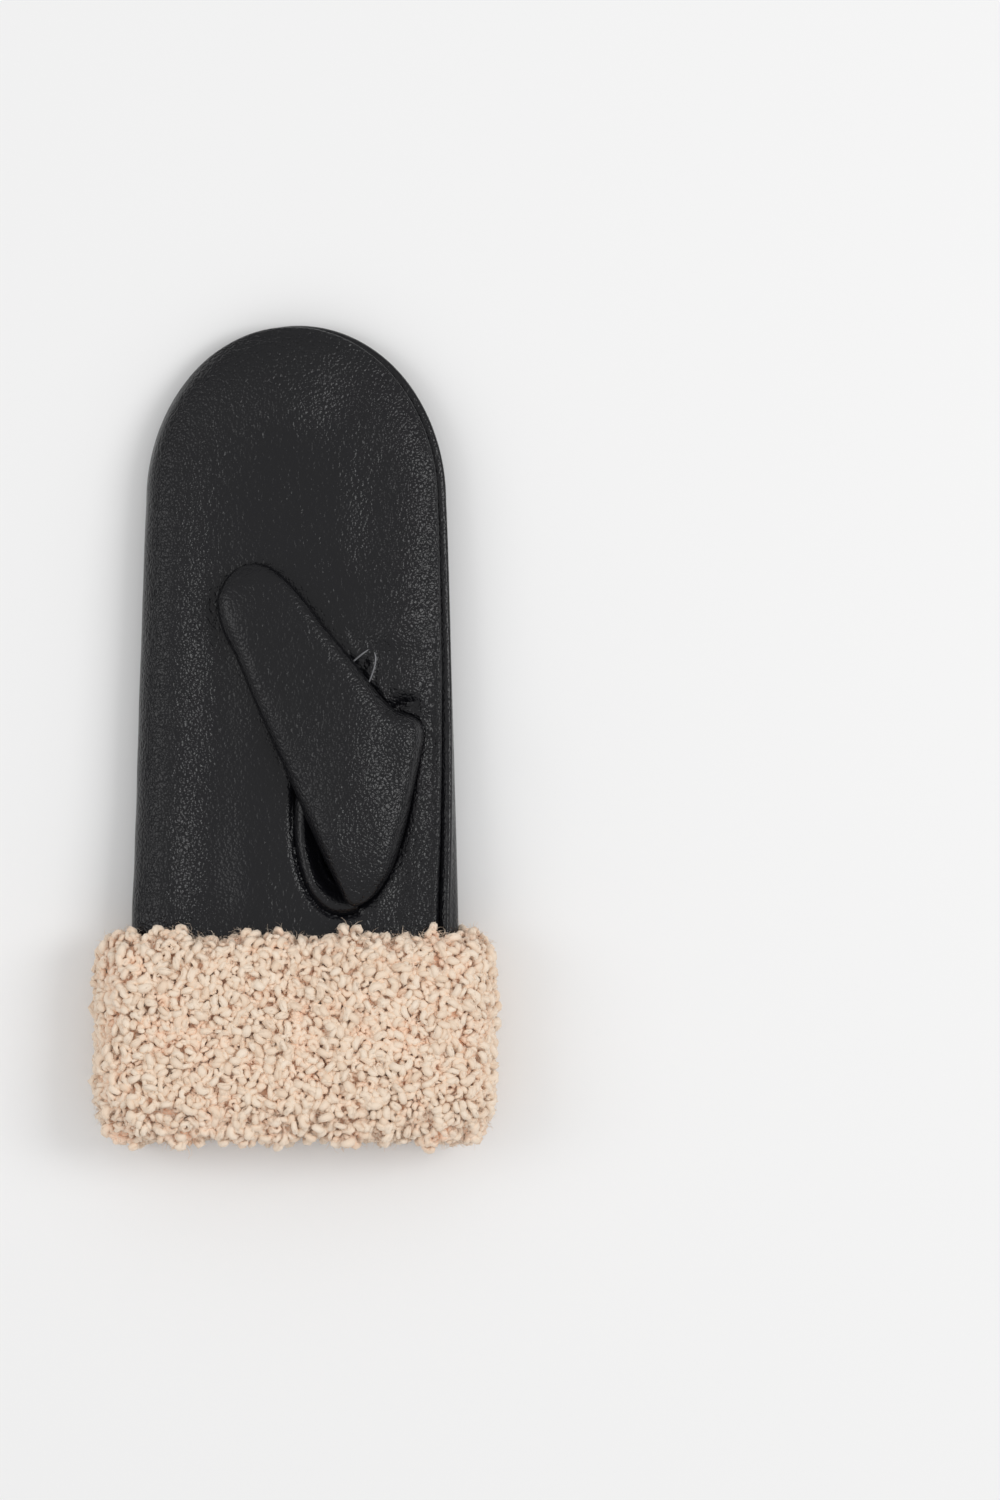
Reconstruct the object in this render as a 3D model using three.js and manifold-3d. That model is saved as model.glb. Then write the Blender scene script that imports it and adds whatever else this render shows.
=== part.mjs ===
// A leather mitten for the right hand, with a turned-up cuff of curly fleece. It lies on its back with the palm
// up. Millimetres, +Z up, +Y towards the fingertips and +X towards the thumb side. The origin is on the surface
// that the mitten lies on, below the middle of its length and width.
import * as THREE from "three";
import { mergeVertices } from "three/addons/utils/BufferGeometryUtils.js";
import Module from "manifold-3d";

const wasm = await Module();
wasm.setup();

// Whole mitten
const mittenLength = 280; // fingertip to the fold of the cuff at the wrist
const fitGap = 0.35; // left free between two pieces that are sewn together

// Leather body: two panels sewn edge to edge round a flat hollow
const leatherWall = 1.8;
const palmWidth = 103; // across the knuckles
const wristWidth = 113; // across the leather where it enters the cuff
const tipLength = 61; // the round end, from the fingertip to where the sides run straight
const palmHeight = 20; // the palm's crown above the surface
const edgePower = 3.6; // how flat the crown is: 2 is an ellipse, and more is flatter
const soleSpread = 1.22; // how much of the back lies flat on the surface
const thumbSeamRise = 0.095; // the seam climbs onto the palm on the thumb side, per mm of width
const thumbSeamGrowth = 0.05; // and climbs this much more at the wrist
const outerSeamDrop = 0.045; // and dips under the back on the little finger's side

// Heights along the body, from the fingertip (0) to the mouth (1): the crown and the side edges as shares of
// palmHeight, and the underside as a share of the fleece that lifts it off the surface.
const bodySections = [
  { along: 0.0, crown: 0.72, edge: 0.4, sole: 0.0 },
  { along: 0.1, crown: 0.86, edge: 0.43, sole: 0.0 },
  { along: 0.28, crown: 0.99, edge: 0.48, sole: 0.0 },
  { along: 0.48, crown: 1.06, edge: 0.52, sole: 0.0 },
  { along: 0.62, crown: 1.12, edge: 0.6, sole: 0.1 },
  { along: 0.74, crown: 1.26, edge: 0.82, sole: 0.66 },
  { along: 0.84, crown: 1.4, edge: 0.98, sole: 0.98 },
  { along: 1.0, crown: 1.48, edge: 1.04, sole: 1.0 },
];

// Soft dents and swells of the palm: place across as a share of half the palm's width, place along from the
// fingertip as a share of the body, their reach as shares of the same two, and depth as a share of the wall.
const palmDents = [
  { across: -0.62, along: 0.42, wide: 0.22, long: 0.2, rise: 0.55 },
  { across: -0.3, along: 0.5, wide: 0.2, long: 0.16, rise: -0.6 },
  { across: 0.05, along: 0.16, wide: 0.3, long: 0.07, rise: 0.4 },
  { across: 0.0, along: 0.28, wide: 0.4, long: 0.06, rise: -0.4 },
  { across: 0.7, along: 0.465, wide: 0.15, long: 0.03, rise: -1.5 },
  { across: 0.72, along: 0.33, wide: 0.14, long: 0.1, rise: 0.45 },
  { across: -0.45, along: 0.7, wide: 0.16, long: 0.07, rise: 0.6 },
  { across: -0.8, along: 0.62, wide: 0.14, long: 0.12, rise: -0.5 },
  { across: 0.78, along: 0.62, wide: 0.1, long: 0.16, rise: 0.5 },
];

// Thumb: a pouch sewn into an oval hole in the palm and folded flat towards the fingertips
const thumbHoleLength = 91;
const thumbHoleWidth = 43.8;
const thumbHoleX = 22.4;
const thumbHoleY = -18.6;
const thumbHoleTurn = 10; // degrees that its upper end leans to the thumb side
const thumbOverhang = 1.3; // how far the thumb's right edge bulges over the seam of the hole
const thumbLength = 123.8; // from the lowest stitch to the thumb's tip
const thumbWidth = 49.8; // at its widest, across its fold and its seam
const thumbHeight = 11.6; // above the palm that it lies on
const thumbWall = 1.7;
const thinnestHollow = 0.35; // half the room left where the thumb's hollow closes at its ends
const thumbBaseX = 19;
const thumbBaseY = -61;
const thumbTurn = 17.6; // degrees that the thumb leans away from the thumb side
const thumbPower = 2.8;
const thumbEdge = 0.36; // height of the thumb's side edges, as a share of thumbHeight

// The thumb from its lowest stitch (0) to its tip (1): its free fold on the left and its seam or edge on the
// right, across from the thumb's line as shares of thumbWidth, and its height as a share of thumbHeight.
const thumbSections = [
  { along: 0.0, left: 0.04, right: 0.08, height: 0.3 },
  { along: 0.02, left: -0.01, right: 0.22, height: 0.5 },
  { along: 0.075, left: -0.036, right: 0.372, height: 0.74 },
  { along: 0.17, left: -0.072, right: 0.538, height: 0.95 },
  { along: 0.27, left: -0.1, right: 0.68, height: 1.0 },
  { along: 0.34, left: -0.117, right: 0.777, height: 0.98 },
  { along: 0.396, left: -0.13, right: 0.85, height: 0.95 },
  { along: 0.43, left: -0.14, right: 0.858, height: 0.93 },
  { along: 0.456, left: -0.148, right: 0.82, height: 0.92 },
  { along: 0.485, left: -0.158, right: 0.73, height: 0.92 },
  { along: 0.52, left: -0.167, right: 0.665, height: 0.92 },
  { along: 0.586, left: -0.186, right: 0.6, height: 0.93 },
  { along: 0.655, left: -0.205, right: 0.542, height: 0.93 },
  { along: 0.76, left: -0.229, right: 0.437, height: 0.92 },
  { along: 0.832, left: -0.257, right: 0.373, height: 0.9 },
  { along: 0.88, left: -0.259, right: 0.325, height: 0.86 },
  { along: 0.937, left: -0.225, right: 0.253, height: 0.76 },
  { along: 0.973, left: -0.15, right: 0.187, height: 0.6 },
  { along: 1.0, left: 0.03, right: 0.05, height: 0.36 },
];

// Fleece cuff: a band turned up over the leather, folded round its mouth and a little way inside
const cuffLength = 67.7;
const pileHeight = 8; // from the leather to the outside of the fleece, above and below
const sidePile = 12.4; // the same at the two sides, where the band folds
const innerPile = 2.2; // fleece inside the mouth
const innerReach = 18; // how far the fleece goes into the mouth
const lipPile = 6; // fleece below the leather's edge
const lockPitch = 14; // distance between the locks of fleece
const lockWidth = 14.6;
const lockHeight = 3.4; // how far a lock stands out of the band
const lockFlatness = 0.55; // depth of a lock as a share of its width
const lockScatter = 0.24; // how far a lock strays, as a share of its pitch

// The band from its upper edge (0) to the fold at the mouth (1), and its thickness as a share of the pile.
const cuffOutside = [
  { along: 0.0, pile: 0.3 },
  { along: 0.03, pile: 0.62 },
  { along: 0.1, pile: 0.84 },
  { along: 0.24, pile: 0.86 },
  { along: 0.42, pile: 0.82 },
  { along: 0.6, pile: 0.84 },
  { along: 0.78, pile: 0.86 },
  { along: 0.91, pile: 0.76 },
  { along: 0.98, pile: 0.4 },
];

// How finely the faces are cut
const tipRowShare = 0.4; // share of the body's rows that lie on its round end
const seamRows = 24;
const sleeveRows = [0.3, 0.55, 0.75, 0.9, 1]; // rings of the cuff's inside, from the mouth to its upper edge
const bodyRows = 22;
const bodySides = 34;
const thumbSides = 14;
const holeSides = 32;

const weldDistance = 1e-4; // corners closer than this are one

const half = (size) => size / 2;
const radians = THREE.MathUtils.degToRad;
const tipY = half(mittenLength);
const mouthY = -half(mittenLength);
const leatherLength = mittenLength - lipPile;
const cuffTopY = mouthY + cuffLength;
const wristAlong = leatherLength + lipPile - cuffLength; // distance from the fingertip to the cuff's upper edge

// The value of one column of a table at a place along it, on a smooth curve through the rows.
function columnAt(rows, key, column, place) {
  const last = rows.length - 1;
  const at = THREE.MathUtils.clamp(place, rows[0][key], rows[last][key]);
  let i = 0;
  while (i < last - 1 && rows[i + 1][key] < at) i += 1;
  const slope = (a, b) =>
    (rows[b][column] - rows[a][column]) / (rows[b][key] - rows[a][key]);
  const width = rows[i + 1][key] - rows[i][key];
  const t = (at - rows[i][key]) / width;
  const startSlope = slope(Math.max(i - 1, 0), i + 1) * width;
  const endSlope = slope(i, Math.min(i + 2, last)) * width;
  return (
    rows[i][column] * (2 * t ** 3 - 3 * t ** 2 + 1) +
    startSlope * (t ** 3 - 2 * t ** 2 + t) +
    rows[i + 1][column] * (3 * t ** 2 - 2 * t ** 3) +
    endSlope * (t ** 3 - t ** 2)
  );
}

// Half the body's width at a distance from the fingertip. The round end is half an ellipse.
function halfWidthAt(fromTip, inset = 0) {
  const roundEnd = tipLength - inset;
  const knuckles = half(palmWidth) - inset;
  const left = Math.max(tipLength - fromTip, 0) / roundEnd;
  const flare = Math.max(fromTip - tipLength, 0) / (wristAlong - tipLength);
  const widening = half(wristWidth - palmWidth) * Math.min(flare, 1);
  return knuckles * Math.sqrt(Math.max(1 - left ** 2, 0)) + widening;
}

// How far out a point of the plan is: 0 on the middle line and 1 on the outline.
function outwardShare(x, fromTip, inset = 0) {
  const width = fromTip < tipLength ? half(palmWidth) - inset : halfWidthAt(fromTip, inset);
  const towardsTip = Math.max(tipLength - fromTip, 0) / (tipLength - inset);
  return Math.min(Math.hypot(x / width, towardsTip), 1);
}

const roundness = (share, power) => Math.sqrt(Math.max(1 - share ** power, 0));
const bodyHeight = (column, fromTip, scale) =>
  columnAt(bodySections, "along", column, fromTip / leatherLength) * scale;
const edgeZ = (fromTip) => bodyHeight("edge", fromTip, palmHeight);

// The dents die away before the leather enters the cuff.
function dentAt(x, fromTip) {
  const fade = THREE.MathUtils.clamp((wristAlong - fromTip) / tipLength, 0, 1);
  let rise = 0;
  for (const dent of palmDents) {
    const dx = (x / half(palmWidth) - dent.across) / dent.wide;
    const dy = (fromTip / leatherLength - dent.along) / dent.long;
    rise += dent.rise * leatherWall * Math.exp(-(dx ** 2 + dy ** 2));
  }
  return rise * fade;
}

// Upper and lower surface of the leather body, or of its hollow when inset by the wall.
function palmZ(x, fromTip, inset = 0) {
  const crown = bodyHeight("crown", fromTip, palmHeight) - inset;
  const share = roundness(outwardShare(x, fromTip, inset), edgePower);
  return edgeZ(fromTip) + (crown - edgeZ(fromTip) + dentAt(x, fromTip)) * share;
}

function soleZ(x, fromTip, inset = 0) {
  const sole = Math.max(bodyHeight("sole", fromTip, pileHeight), 0) + inset;
  const share = roundness(outwardShare(x, fromTip, inset), edgePower) * soleSpread;
  return Math.max(edgeZ(fromTip) - (edgeZ(fromTip) - sole) * share, sole);
}

// A closed mesh through rings of points. Each ring has the same number of points, a ring of one point is a
// pole, and a loop joins its last ring to its first.
function skin(rings, isLoop = false) {
  const positions = [];
  const starts = rings.map((ring) => {
    const start = positions.length / 3;
    ring.forEach((point) => positions.push(...point));
    return start;
  });
  const faces = [];
  const count = isLoop ? rings.length : rings.length - 1;
  for (let r = 0; r < count; r += 1) {
    const next = (r + 1) % rings.length;
    const sides = Math.max(rings[r].length, rings[next].length);
    const vertex = (ring, i) => starts[ring] + (i % rings[ring].length);
    for (let i = 0; i < sides; i += 1) {
      const [a, b] = [vertex(r, i), vertex(r, i + 1)];
      const [c, d] = [vertex(next, i + 1), vertex(next, i)];
      if (a !== b) faces.push(a, b, c);
      if (c !== d) faces.push(a, c, d);
    }
  }
  const geometry = new THREE.BufferGeometry();
  geometry.setAttribute("position", new THREE.Float32BufferAttribute(positions, 3));
  geometry.setIndex(faces);
  return geometry;
}

// Solids for cutting and joining, and back again.
function solidFrom(geometry) {
  const bare = geometry.clone();
  bare.deleteAttribute("normal");
  bare.deleteAttribute("uv");
  const merged = mergeVertices(bare, weldDistance);
  const vertProperties = new Float32Array(merged.attributes.position.array);
  const triVerts = new Uint32Array(merged.index.array);
  return new wasm.Manifold(new wasm.Mesh({ numProp: 3, vertProperties, triVerts }));
}

function geometryFrom(solid) {
  const mesh = solid.getMesh();
  const geometry = new THREE.BufferGeometry();
  geometry.setAttribute("position", new THREE.BufferAttribute(mesh.vertProperties, 3));
  geometry.setIndex(new THREE.BufferAttribute(mesh.triVerts, 1));
  geometry.computeVertexNormals();
  return geometry;
}

// A solid through rings of points, closed at each end over the ring's middle.
function closedSolid(rings) {
  const middleOf = (ring) =>
    ring.reduce((sum, point) => sum.map((value, axis) => value + point[axis] / ring.length), [0, 0, 0]);
  return solidFrom(skin([[middleOf(rings[0])], ...rings, [middleOf(rings[rings.length - 1])]]));
}

const largestOf = (solid) =>
  solid.decompose().reduce((a, b) => (a.volume() > b.volume() ? a : b));

// Leather body

// One ring round the body at a distance from the fingertip, seen from the mouth.
function bodyRing(fromTip, inset) {
  const width = halfWidthAt(fromTip, inset);
  return Array.from({ length: bodySides }, (_, i) => {
    const angle = (2 * Math.PI * i) / bodySides;
    const x = width * Math.cos(angle);
    const z = Math.sin(angle) > 0 ? palmZ(x, fromTip, inset) : soleZ(x, fromTip, inset);
    return [x, tipY - fromTip, i % half(bodySides) === 0 ? edgeZ(fromTip) : z];
  });
}

// Rows crowd together at the round end, where the leather turns under.
function bodyRingsFrom(inset, end) {
  const tipRows = Math.round(bodyRows * tipRowShare);
  const rings = [[[0, tipY - inset, edgeZ(inset)]]];
  for (let i = 1; i <= tipRows; i += 1) {
    const turn = half(Math.PI) * (i / tipRows);
    rings.push(bodyRing(inset + (tipLength - inset) * (1 - Math.cos(turn)), inset));
  }
  const straightRows = bodyRows - tipRows;
  for (let i = 1; i <= straightRows; i += 1) {
    rings.push(bodyRing(tipLength + (end - tipLength) * (i / straightRows), inset));
  }
  return rings;
}

function makeBodyShell() {
  const outside = bodyRingsFrom(0, leatherLength);
  const inside = bodyRingsFrom(leatherWall, leatherLength).reverse();
  return solidFrom(skin([...outside, ...inside]));
}

// The sheet that parts the palm from the back. On the thumb side it climbs onto the palm, and on the little
// finger's side it dips under the back, so each panel wraps one side of the mitten.
function seamZ(x, fromTip) {
  const rise = thumbSeamRise + (thumbSeamGrowth * fromTip) / leatherLength;
  return edgeZ(Math.max(fromTip, 0)) + x * (x > 0 ? rise : outerSeamDrop);
}

function makeSeamSheet() {
  const reach = half(wristWidth) + sidePile;
  const across = [-1, -0.5, 0, 0.5, 1];
  const layer = (lift) =>
    Array.from({ length: seamRows + 1 }, (_, r) => {
      const fromTip = -lipPile + (leatherLength + 2 * lipPile) * (r / seamRows);
      const inside = Math.min(fromTip, leatherLength);
      return across.map((share) => [share * reach, tipY - fromTip, seamZ(share * reach, inside) + lift]);
    });
  const top = layer(half(fitGap));
  const bottom = layer(-half(fitGap));
  const rings = top.map((row, r) => [...row, ...[...bottom[r]].reverse()]);
  return closedSolid(rings.reverse());
}

// Thumb

const thumbLine = new THREE.Vector2(-Math.sin(radians(thumbTurn)), Math.cos(radians(thumbTurn)));
const thumbAcross = new THREE.Vector2(thumbLine.y, -thumbLine.x);

// One ring round the thumb. It lies on the palm, so its underside follows the palm's crown.
function thumbRing(row, inset) {
  const share = THREE.MathUtils.clamp(row, 0, 1);
  const value = (column) => columnAt(thumbSections, "along", column, share);
  const along = THREE.MathUtils.lerp(inset, thumbLength - inset, share);
  const left = value("left") * thumbWidth;
  const right = value("right") * thumbWidth;
  const reach = Math.max(half(right - left) - inset, thinnestHollow);
  const height = value("height") * thumbHeight;
  const edge = height * thumbEdge;
  return Array.from({ length: thumbSides }, (_, i) => {
    const angle = (2 * Math.PI * i) / thumbSides;
    const across = half(left + right) + reach * Math.cos(angle);
    const x = thumbBaseX + thumbLine.x * along + thumbAcross.x * across;
    const y = thumbBaseY + thumbLine.y * along + thumbAcross.y * across;
    const bed = palmZ(x, tipY - y) + fitGap;
    const round = roundness(Math.abs(Math.cos(angle)), thumbPower);
    const rise = Math.max(height - edge - inset, thinnestHollow) * round;
    const drop = Math.max(edge - inset, thinnestHollow) * Math.min(round * soleSpread, 1);
    return [x, y, bed + edge + (Math.sin(angle) > 0 ? rise : -drop)];
  });
}

function makeThumbPouch(inset) {
  const rings = thumbSections.map((row) => thumbRing(row.along, inset));
  return closedSolid(rings.reverse());
}

// A post with a flat outline, tall enough to pass through the palm and the thumb.
function makePost(outline) {
  const depth = palmHeight * 2;
  const post = new THREE.ExtrudeGeometry(outline, { depth, bevelEnabled: false, curveSegments: holeSides });
  return solidFrom(post.translate(0, 0, edgeZ(half(leatherLength))));
}

// The thumb's hole, grown or shrunk by a margin: an oval, except that its right side stays under the thumb.
function makeHolePost(margin) {
  const oval = new THREE.Shape();
  const reachAcross = half(thumbHoleWidth) + margin;
  const reachAlong = half(thumbHoleLength) + margin;
  const turn = -radians(thumbHoleTurn);
  oval.absellipse(thumbHoleX, thumbHoleY, reachAcross, reachAlong, 0, 2 * Math.PI, false, turn);
  const place = (along, across) =>
    new THREE.Vector2(thumbBaseX, thumbBaseY)
      .addScaledVector(thumbLine, along * thumbLength)
      .addScaledVector(thumbAcross, across);
  const tuck = margin - thumbOverhang;
  const rightEdge = thumbSections.map(({ along, right }) => place(along, right * thumbWidth + tuck));
  const underThumb = new THREE.Shape([place(1, -thumbLength), place(0, -thumbLength), ...rightEdge]);
  return makePost(oval).intersect(makePost(underThumb));
}

function makeThumb(palmShell) {
  const outside = makeThumbPouch(0);
  const inside = makeThumbPouch(thumbWall);
  const seamDrop = fitGap + leatherWall;
  const breakThrough = seamDrop + 2 * thumbWall;
  const neck = outside.translate([0, 0, -seamDrop]).intersect(makeHolePost(-fitGap));
  const web = palmShell.intersect(makeHolePost(-fitGap));
  const throat = inside.translate([0, 0, -breakThrough]).intersect(makeHolePost(-thumbWall));
  return largestOf(outside.add(neck).add(web).subtract(inside).subtract(throat));
}

// Fleece cuff

// One ring round the sleeve, standing off the leather by so much above, below and at the sides.
function cuffRing(y, standOff, sideStandOff) {
  const fromTip = Math.min(tipY - y, leatherLength);
  const width = halfWidthAt(fromTip);
  return Array.from({ length: bodySides }, (_, i) => {
    const angle = (2 * Math.PI * i) / bodySides;
    const x = width * Math.cos(angle);
    const rise = standOff * Math.min(roundness(Math.abs(Math.cos(angle)), edgePower) * soleSpread, 1);
    const up = Math.sin(angle) > 0;
    const z = up ? palmZ(x, fromTip) + rise : Math.max(soleZ(x, fromTip) - rise, 0);
    return [x * (1 + sideStandOff / width), y, z];
  });
}

function makeCuffBand() {
  const clear = fitGap;
  const inner = -(leatherWall + fitGap);
  const leatherEdge = mouthY + lipPile;
  const rings = [];
  for (const { along, pile } of cuffOutside) {
    rings.push(cuffRing(cuffTopY - along * cuffLength, pile * pileHeight, pile * sidePile));
  }
  rings.push(cuffRing(mouthY, 0, 0));
  rings.push(cuffRing(mouthY + half(lipPile), inner - innerPile, inner - innerPile));
  rings.push(cuffRing(leatherEdge + half(innerReach), inner - innerPile, inner - innerPile));
  rings.push(cuffRing(leatherEdge + innerReach, inner - half(innerPile), inner - half(innerPile)));
  rings.push(cuffRing(leatherEdge + innerReach, inner, inner));
  rings.push(cuffRing(leatherEdge - fitGap, inner, inner));
  for (const share of [0, ...sleeveRows]) {
    rings.push(cuffRing(THREE.MathUtils.lerp(leatherEdge - fitGap, cuffTopY, share), clear, clear));
  }
  return solidFrom(skin(rings, true));
}

// A steady run of numbers from 0 to 1, the same ones each time, for the scatter of the locks.
function makeScatter(seed) {
  const multiplier = 16807;
  const modulus = 2147483647;
  let state = seed;
  return () => {
    state = (state * multiplier) % modulus;
    return state / modulus;
  };
}

// Locks of fleece in staggered rows round the band, each a squat lump that is sunk into it.
function makeLocks() {
  const scatter = makeScatter(11);
  const stray = () => (scatter() - 0.5) * 2 * lockScatter;
  const rows = Math.round(cuffLength / lockPitch);
  const locks = [];
  for (let row = 0; row < rows; row += 1) {
    const along = (row + 0.5) / rows;
    const pile = columnAt(cuffOutside, "along", "pile", along);
    const y = cuffTopY - along * cuffLength;
    const ring = cuffRing(y, pile * pileHeight, pile * sidePile);
    const path = new THREE.CatmullRomCurve3(
      ring.map((point) => new THREE.Vector3(...point)),
      true,
    );
    const count = Math.round(path.getLength() / lockPitch);
    for (let i = 0; i < count; i += 1) {
      const place = (i + half(row % 2) + stray() + 1) / count;
      const point = path.getPointAt(place % 1);
      const size = 1 + stray();
      const tangent = path.getTangentAt(place % 1);
      const out = new THREE.Vector3(tangent.z, 0, -tangent.x);
      const lump = new THREE.IcosahedronGeometry(half(lockWidth) * size, 0);
      lump.rotateZ(scatter() * Math.PI).scale(1, 1, lockFlatness);
      lump.applyQuaternion(new THREE.Quaternion().setFromUnitVectors(new THREE.Vector3(0, 0, 1), out));
      const sink = half(lockWidth) * size * lockFlatness - lockHeight * (1 + stray());
      lump.translate(point.x - out.x * sink, y + stray() * lockPitch, point.z - out.z * sink);
      locks.push(solidFrom(lump));
    }
  }
  return locks;
}

// What the cuff's fleece may not reach into: the surface below it, the leather sleeve and the mouth.
function makeFloorBlock() {
  const size = 2 * mittenLength;
  return solidFrom(new THREE.BoxGeometry(size, size, size).translate(0, 0, -half(size)));
}

function makeSleeveCore() {
  const places = [0, ...sleeveRows].map((share) =>
    THREE.MathUtils.lerp(mouthY + lipPile - fitGap, cuffTopY, share),
  );
  const rings = [...places, cuffTopY + lockWidth].map((y) => cuffRing(y, fitGap, fitGap));
  return closedSolid(rings.reverse());
}

function makeCuff() {
  const band = makeCuffBand();
  const core = makeSleeveCore();
  const locks = wasm.Manifold.union(makeLocks()).subtract(core);
  return largestOf(band.add(locks).subtract(makeFloorBlock()));
}

// Finishes
const leather = new THREE.MeshStandardMaterial({ color: 0x26262a, roughness: 0.5, metalness: 0 });
const fleece = new THREE.MeshStandardMaterial({ color: 0xd9c0aa, roughness: 0.95, metalness: 0 });

function piece(name, solid, material) {
  const mesh = new THREE.Mesh(geometryFrom(solid), material);
  mesh.name = name;
  return mesh;
}

const shell = makeBodyShell();
const parted = shell.subtract(makeSeamSheet()).decompose();
const halves = parted.sort((a, b) => b.volume() - a.volume()).slice(0, 2);
const middleHeight = (solid) => solid.boundingBox().max[2] + solid.boundingBox().min[2];
const [backShell, palmShell] = halves.sort((a, b) => middleHeight(a) - middleHeight(b));
const palm = largestOf(palmShell.subtract(makeHolePost(0)));

const mitten = new THREE.Group();
mitten.add(
  piece("palm_panel", palm, leather),
  piece("back_panel", backShell, leather),
  piece("thumb", makeThumb(palmShell), leather),
  piece("fleece_cuff", makeCuff(), fleece),
);

export default mitten;
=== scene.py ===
import math

import bmesh
import bpy
import numpy as np
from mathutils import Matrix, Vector, noise


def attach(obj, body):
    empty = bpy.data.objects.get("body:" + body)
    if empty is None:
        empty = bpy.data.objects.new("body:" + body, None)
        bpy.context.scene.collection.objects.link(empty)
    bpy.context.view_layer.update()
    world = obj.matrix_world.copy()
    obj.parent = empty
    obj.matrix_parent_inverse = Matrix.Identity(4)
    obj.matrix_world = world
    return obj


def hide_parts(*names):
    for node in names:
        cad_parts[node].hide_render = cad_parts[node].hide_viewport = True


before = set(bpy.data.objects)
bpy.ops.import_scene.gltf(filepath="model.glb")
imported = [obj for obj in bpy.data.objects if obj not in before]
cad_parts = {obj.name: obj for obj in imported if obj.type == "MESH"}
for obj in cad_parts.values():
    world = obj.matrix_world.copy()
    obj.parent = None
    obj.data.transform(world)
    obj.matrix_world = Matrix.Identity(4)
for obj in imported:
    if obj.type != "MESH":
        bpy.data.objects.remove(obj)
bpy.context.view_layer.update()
MM = 0.001

# Palm panel
# The palm is one sheet of soft black nappa, sewn to the back all round and turned in at its edge. It is
# crowned, with slack hollows between, and has an oval hole that the thumb is sewn into.
mitten_length = 280.0
fingertip_y = mitten_length / 2
leather_length = 274.0
wrist_from_tip = 212.3
round_end = 61.0
knuckle_width = 103.0
wrist_width = 113.0
wrist_flare = 0.8
palm_height = 20.0
cuff_lift = 8.0
crown_power = 8.0
sole_spread = 1.22
leather_wall = 1.6
swells_past_wrist = 8.0
swells_fade = 25.0

# Heights from the fingertip (0) to the mouth (1): crown and side edges as shares of palm_height, and the
# underside as a share of the fleece that lifts it.
body_sections = [
    {"along": 0.00, "crown": 0.72, "edge": 0.40, "sole": 0.00},
    {"along": 0.10, "crown": 0.86, "edge": 0.43, "sole": 0.00},
    {"along": 0.28, "crown": 0.99, "edge": 0.48, "sole": 0.00},
    {"along": 0.48, "crown": 1.06, "edge": 0.52, "sole": 0.00},
    {"along": 0.62, "crown": 1.12, "edge": 0.60, "sole": 0.10},
    {"along": 0.74, "crown": 1.26, "edge": 0.82, "sole": 0.66},
    {"along": 0.84, "crown": 1.40, "edge": 0.98, "sole": 0.98},
    {"along": 1.00, "crown": 1.48, "edge": 1.04, "sole": 1.00},
]

# How far inside the mitten's outline the seam runs: on top at the thumb side, and underneath at the other.
seam_sections = [
    {"along": 0.00, "thumb_side": 0.0, "outer_side": 0.0},
    {"along": 0.04, "thumb_side": 0.55, "outer_side": 0.35},
    {"along": 0.10, "thumb_side": 1.2, "outer_side": 0.9},
    {"along": 0.19, "thumb_side": 1.5, "outer_side": 1.2},
    {"along": 0.30, "thumb_side": 1.9, "outer_side": 1.6},
    {"along": 0.47, "thumb_side": 2.6, "outer_side": 2.0},
    {"along": 0.62, "thumb_side": 4.1, "outer_side": 2.4},
    {"along": 0.77, "thumb_side": 6.4, "outer_side": 2.8},
    {"along": 1.00, "thumb_side": 7.0, "outer_side": 2.9},
]

# Slack swells and hollows of the palm: centre and reach in millimetres, and rise.
palm_swells = [
    {"x": -44.0, "y": 24.0, "wide": 8.0, "long": 60.0, "rise": 1.4},
    {"x": -27.0, "y": 24.0, "wide": 10.0, "long": 48.0, "rise": -1.9},
    {"x": -5.0, "y": 113.0, "wide": 12.0, "long": 12.0, "rise": 1.3},
    {"x": 18.0, "y": 116.0, "wide": 9.0, "long": 11.0, "rise": -1.3},
    {"x": 6.0, "y": 62.0, "wide": 20.0, "long": 12.0, "rise": 0.8},
    {"x": 28.0, "y": 76.0, "wide": 9.0, "long": 26.0, "rise": -1.0},
    {"x": 38.0, "y": 52.0, "wide": 8.0, "long": 24.0, "rise": 1.0},
    {"x": 29.0, "y": 42.0, "wide": 8.0, "long": 8.0, "rise": 1.1},
    {"x": 36.0, "y": 9.5, "wide": 6.5, "long": 5.0, "rise": -1.4},
    {"x": 46.5, "y": 0.0, "wide": 3.0, "long": 14.0, "rise": -1.0},
    {"x": -46.0, "y": -42.0, "wide": 8.0, "long": 22.0, "rise": 1.6},
    {"x": -31.0, "y": -46.0, "wide": 10.0, "long": 22.0, "rise": -2.0},
    {"x": -14.0, "y": -58.0, "wide": 9.0, "long": 12.0, "rise": 0.8},
    {"x": 36.0, "y": -44.0, "wide": 5.0, "long": 34.0, "rise": -1.0},
    {"x": 12.0, "y": -70.0, "wide": 18.0, "long": 6.0, "rise": -0.8},
]


def row_curve(rows, column, place):
    """A smooth curve through one column of a table, read at an array of places."""
    keys = np.array([row["along"] for row in rows])
    values = np.array([row[column] for row in rows])
    slopes = np.empty_like(values)
    slopes[1:-1] = (values[2:] - values[:-2]) / (keys[2:] - keys[:-2])
    slopes[0] = (values[1] - values[0]) / (keys[1] - keys[0])
    slopes[-1] = (values[-1] - values[-2]) / (keys[-1] - keys[-2])
    place = np.clip(place, keys[0], keys[-1])
    i = np.clip(np.searchsorted(keys, place, side="right") - 1, 0, len(keys) - 2)
    width = keys[i + 1] - keys[i]
    t = (place - keys[i]) / width
    return (
        values[i] * (2 * t**3 - 3 * t**2 + 1)
        + slopes[i] * width * (t**3 - 2 * t**2 + t)
        + values[i + 1] * (3 * t**2 - 2 * t**3)
        + slopes[i + 1] * width * (t**3 - t**2)
    )


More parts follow.
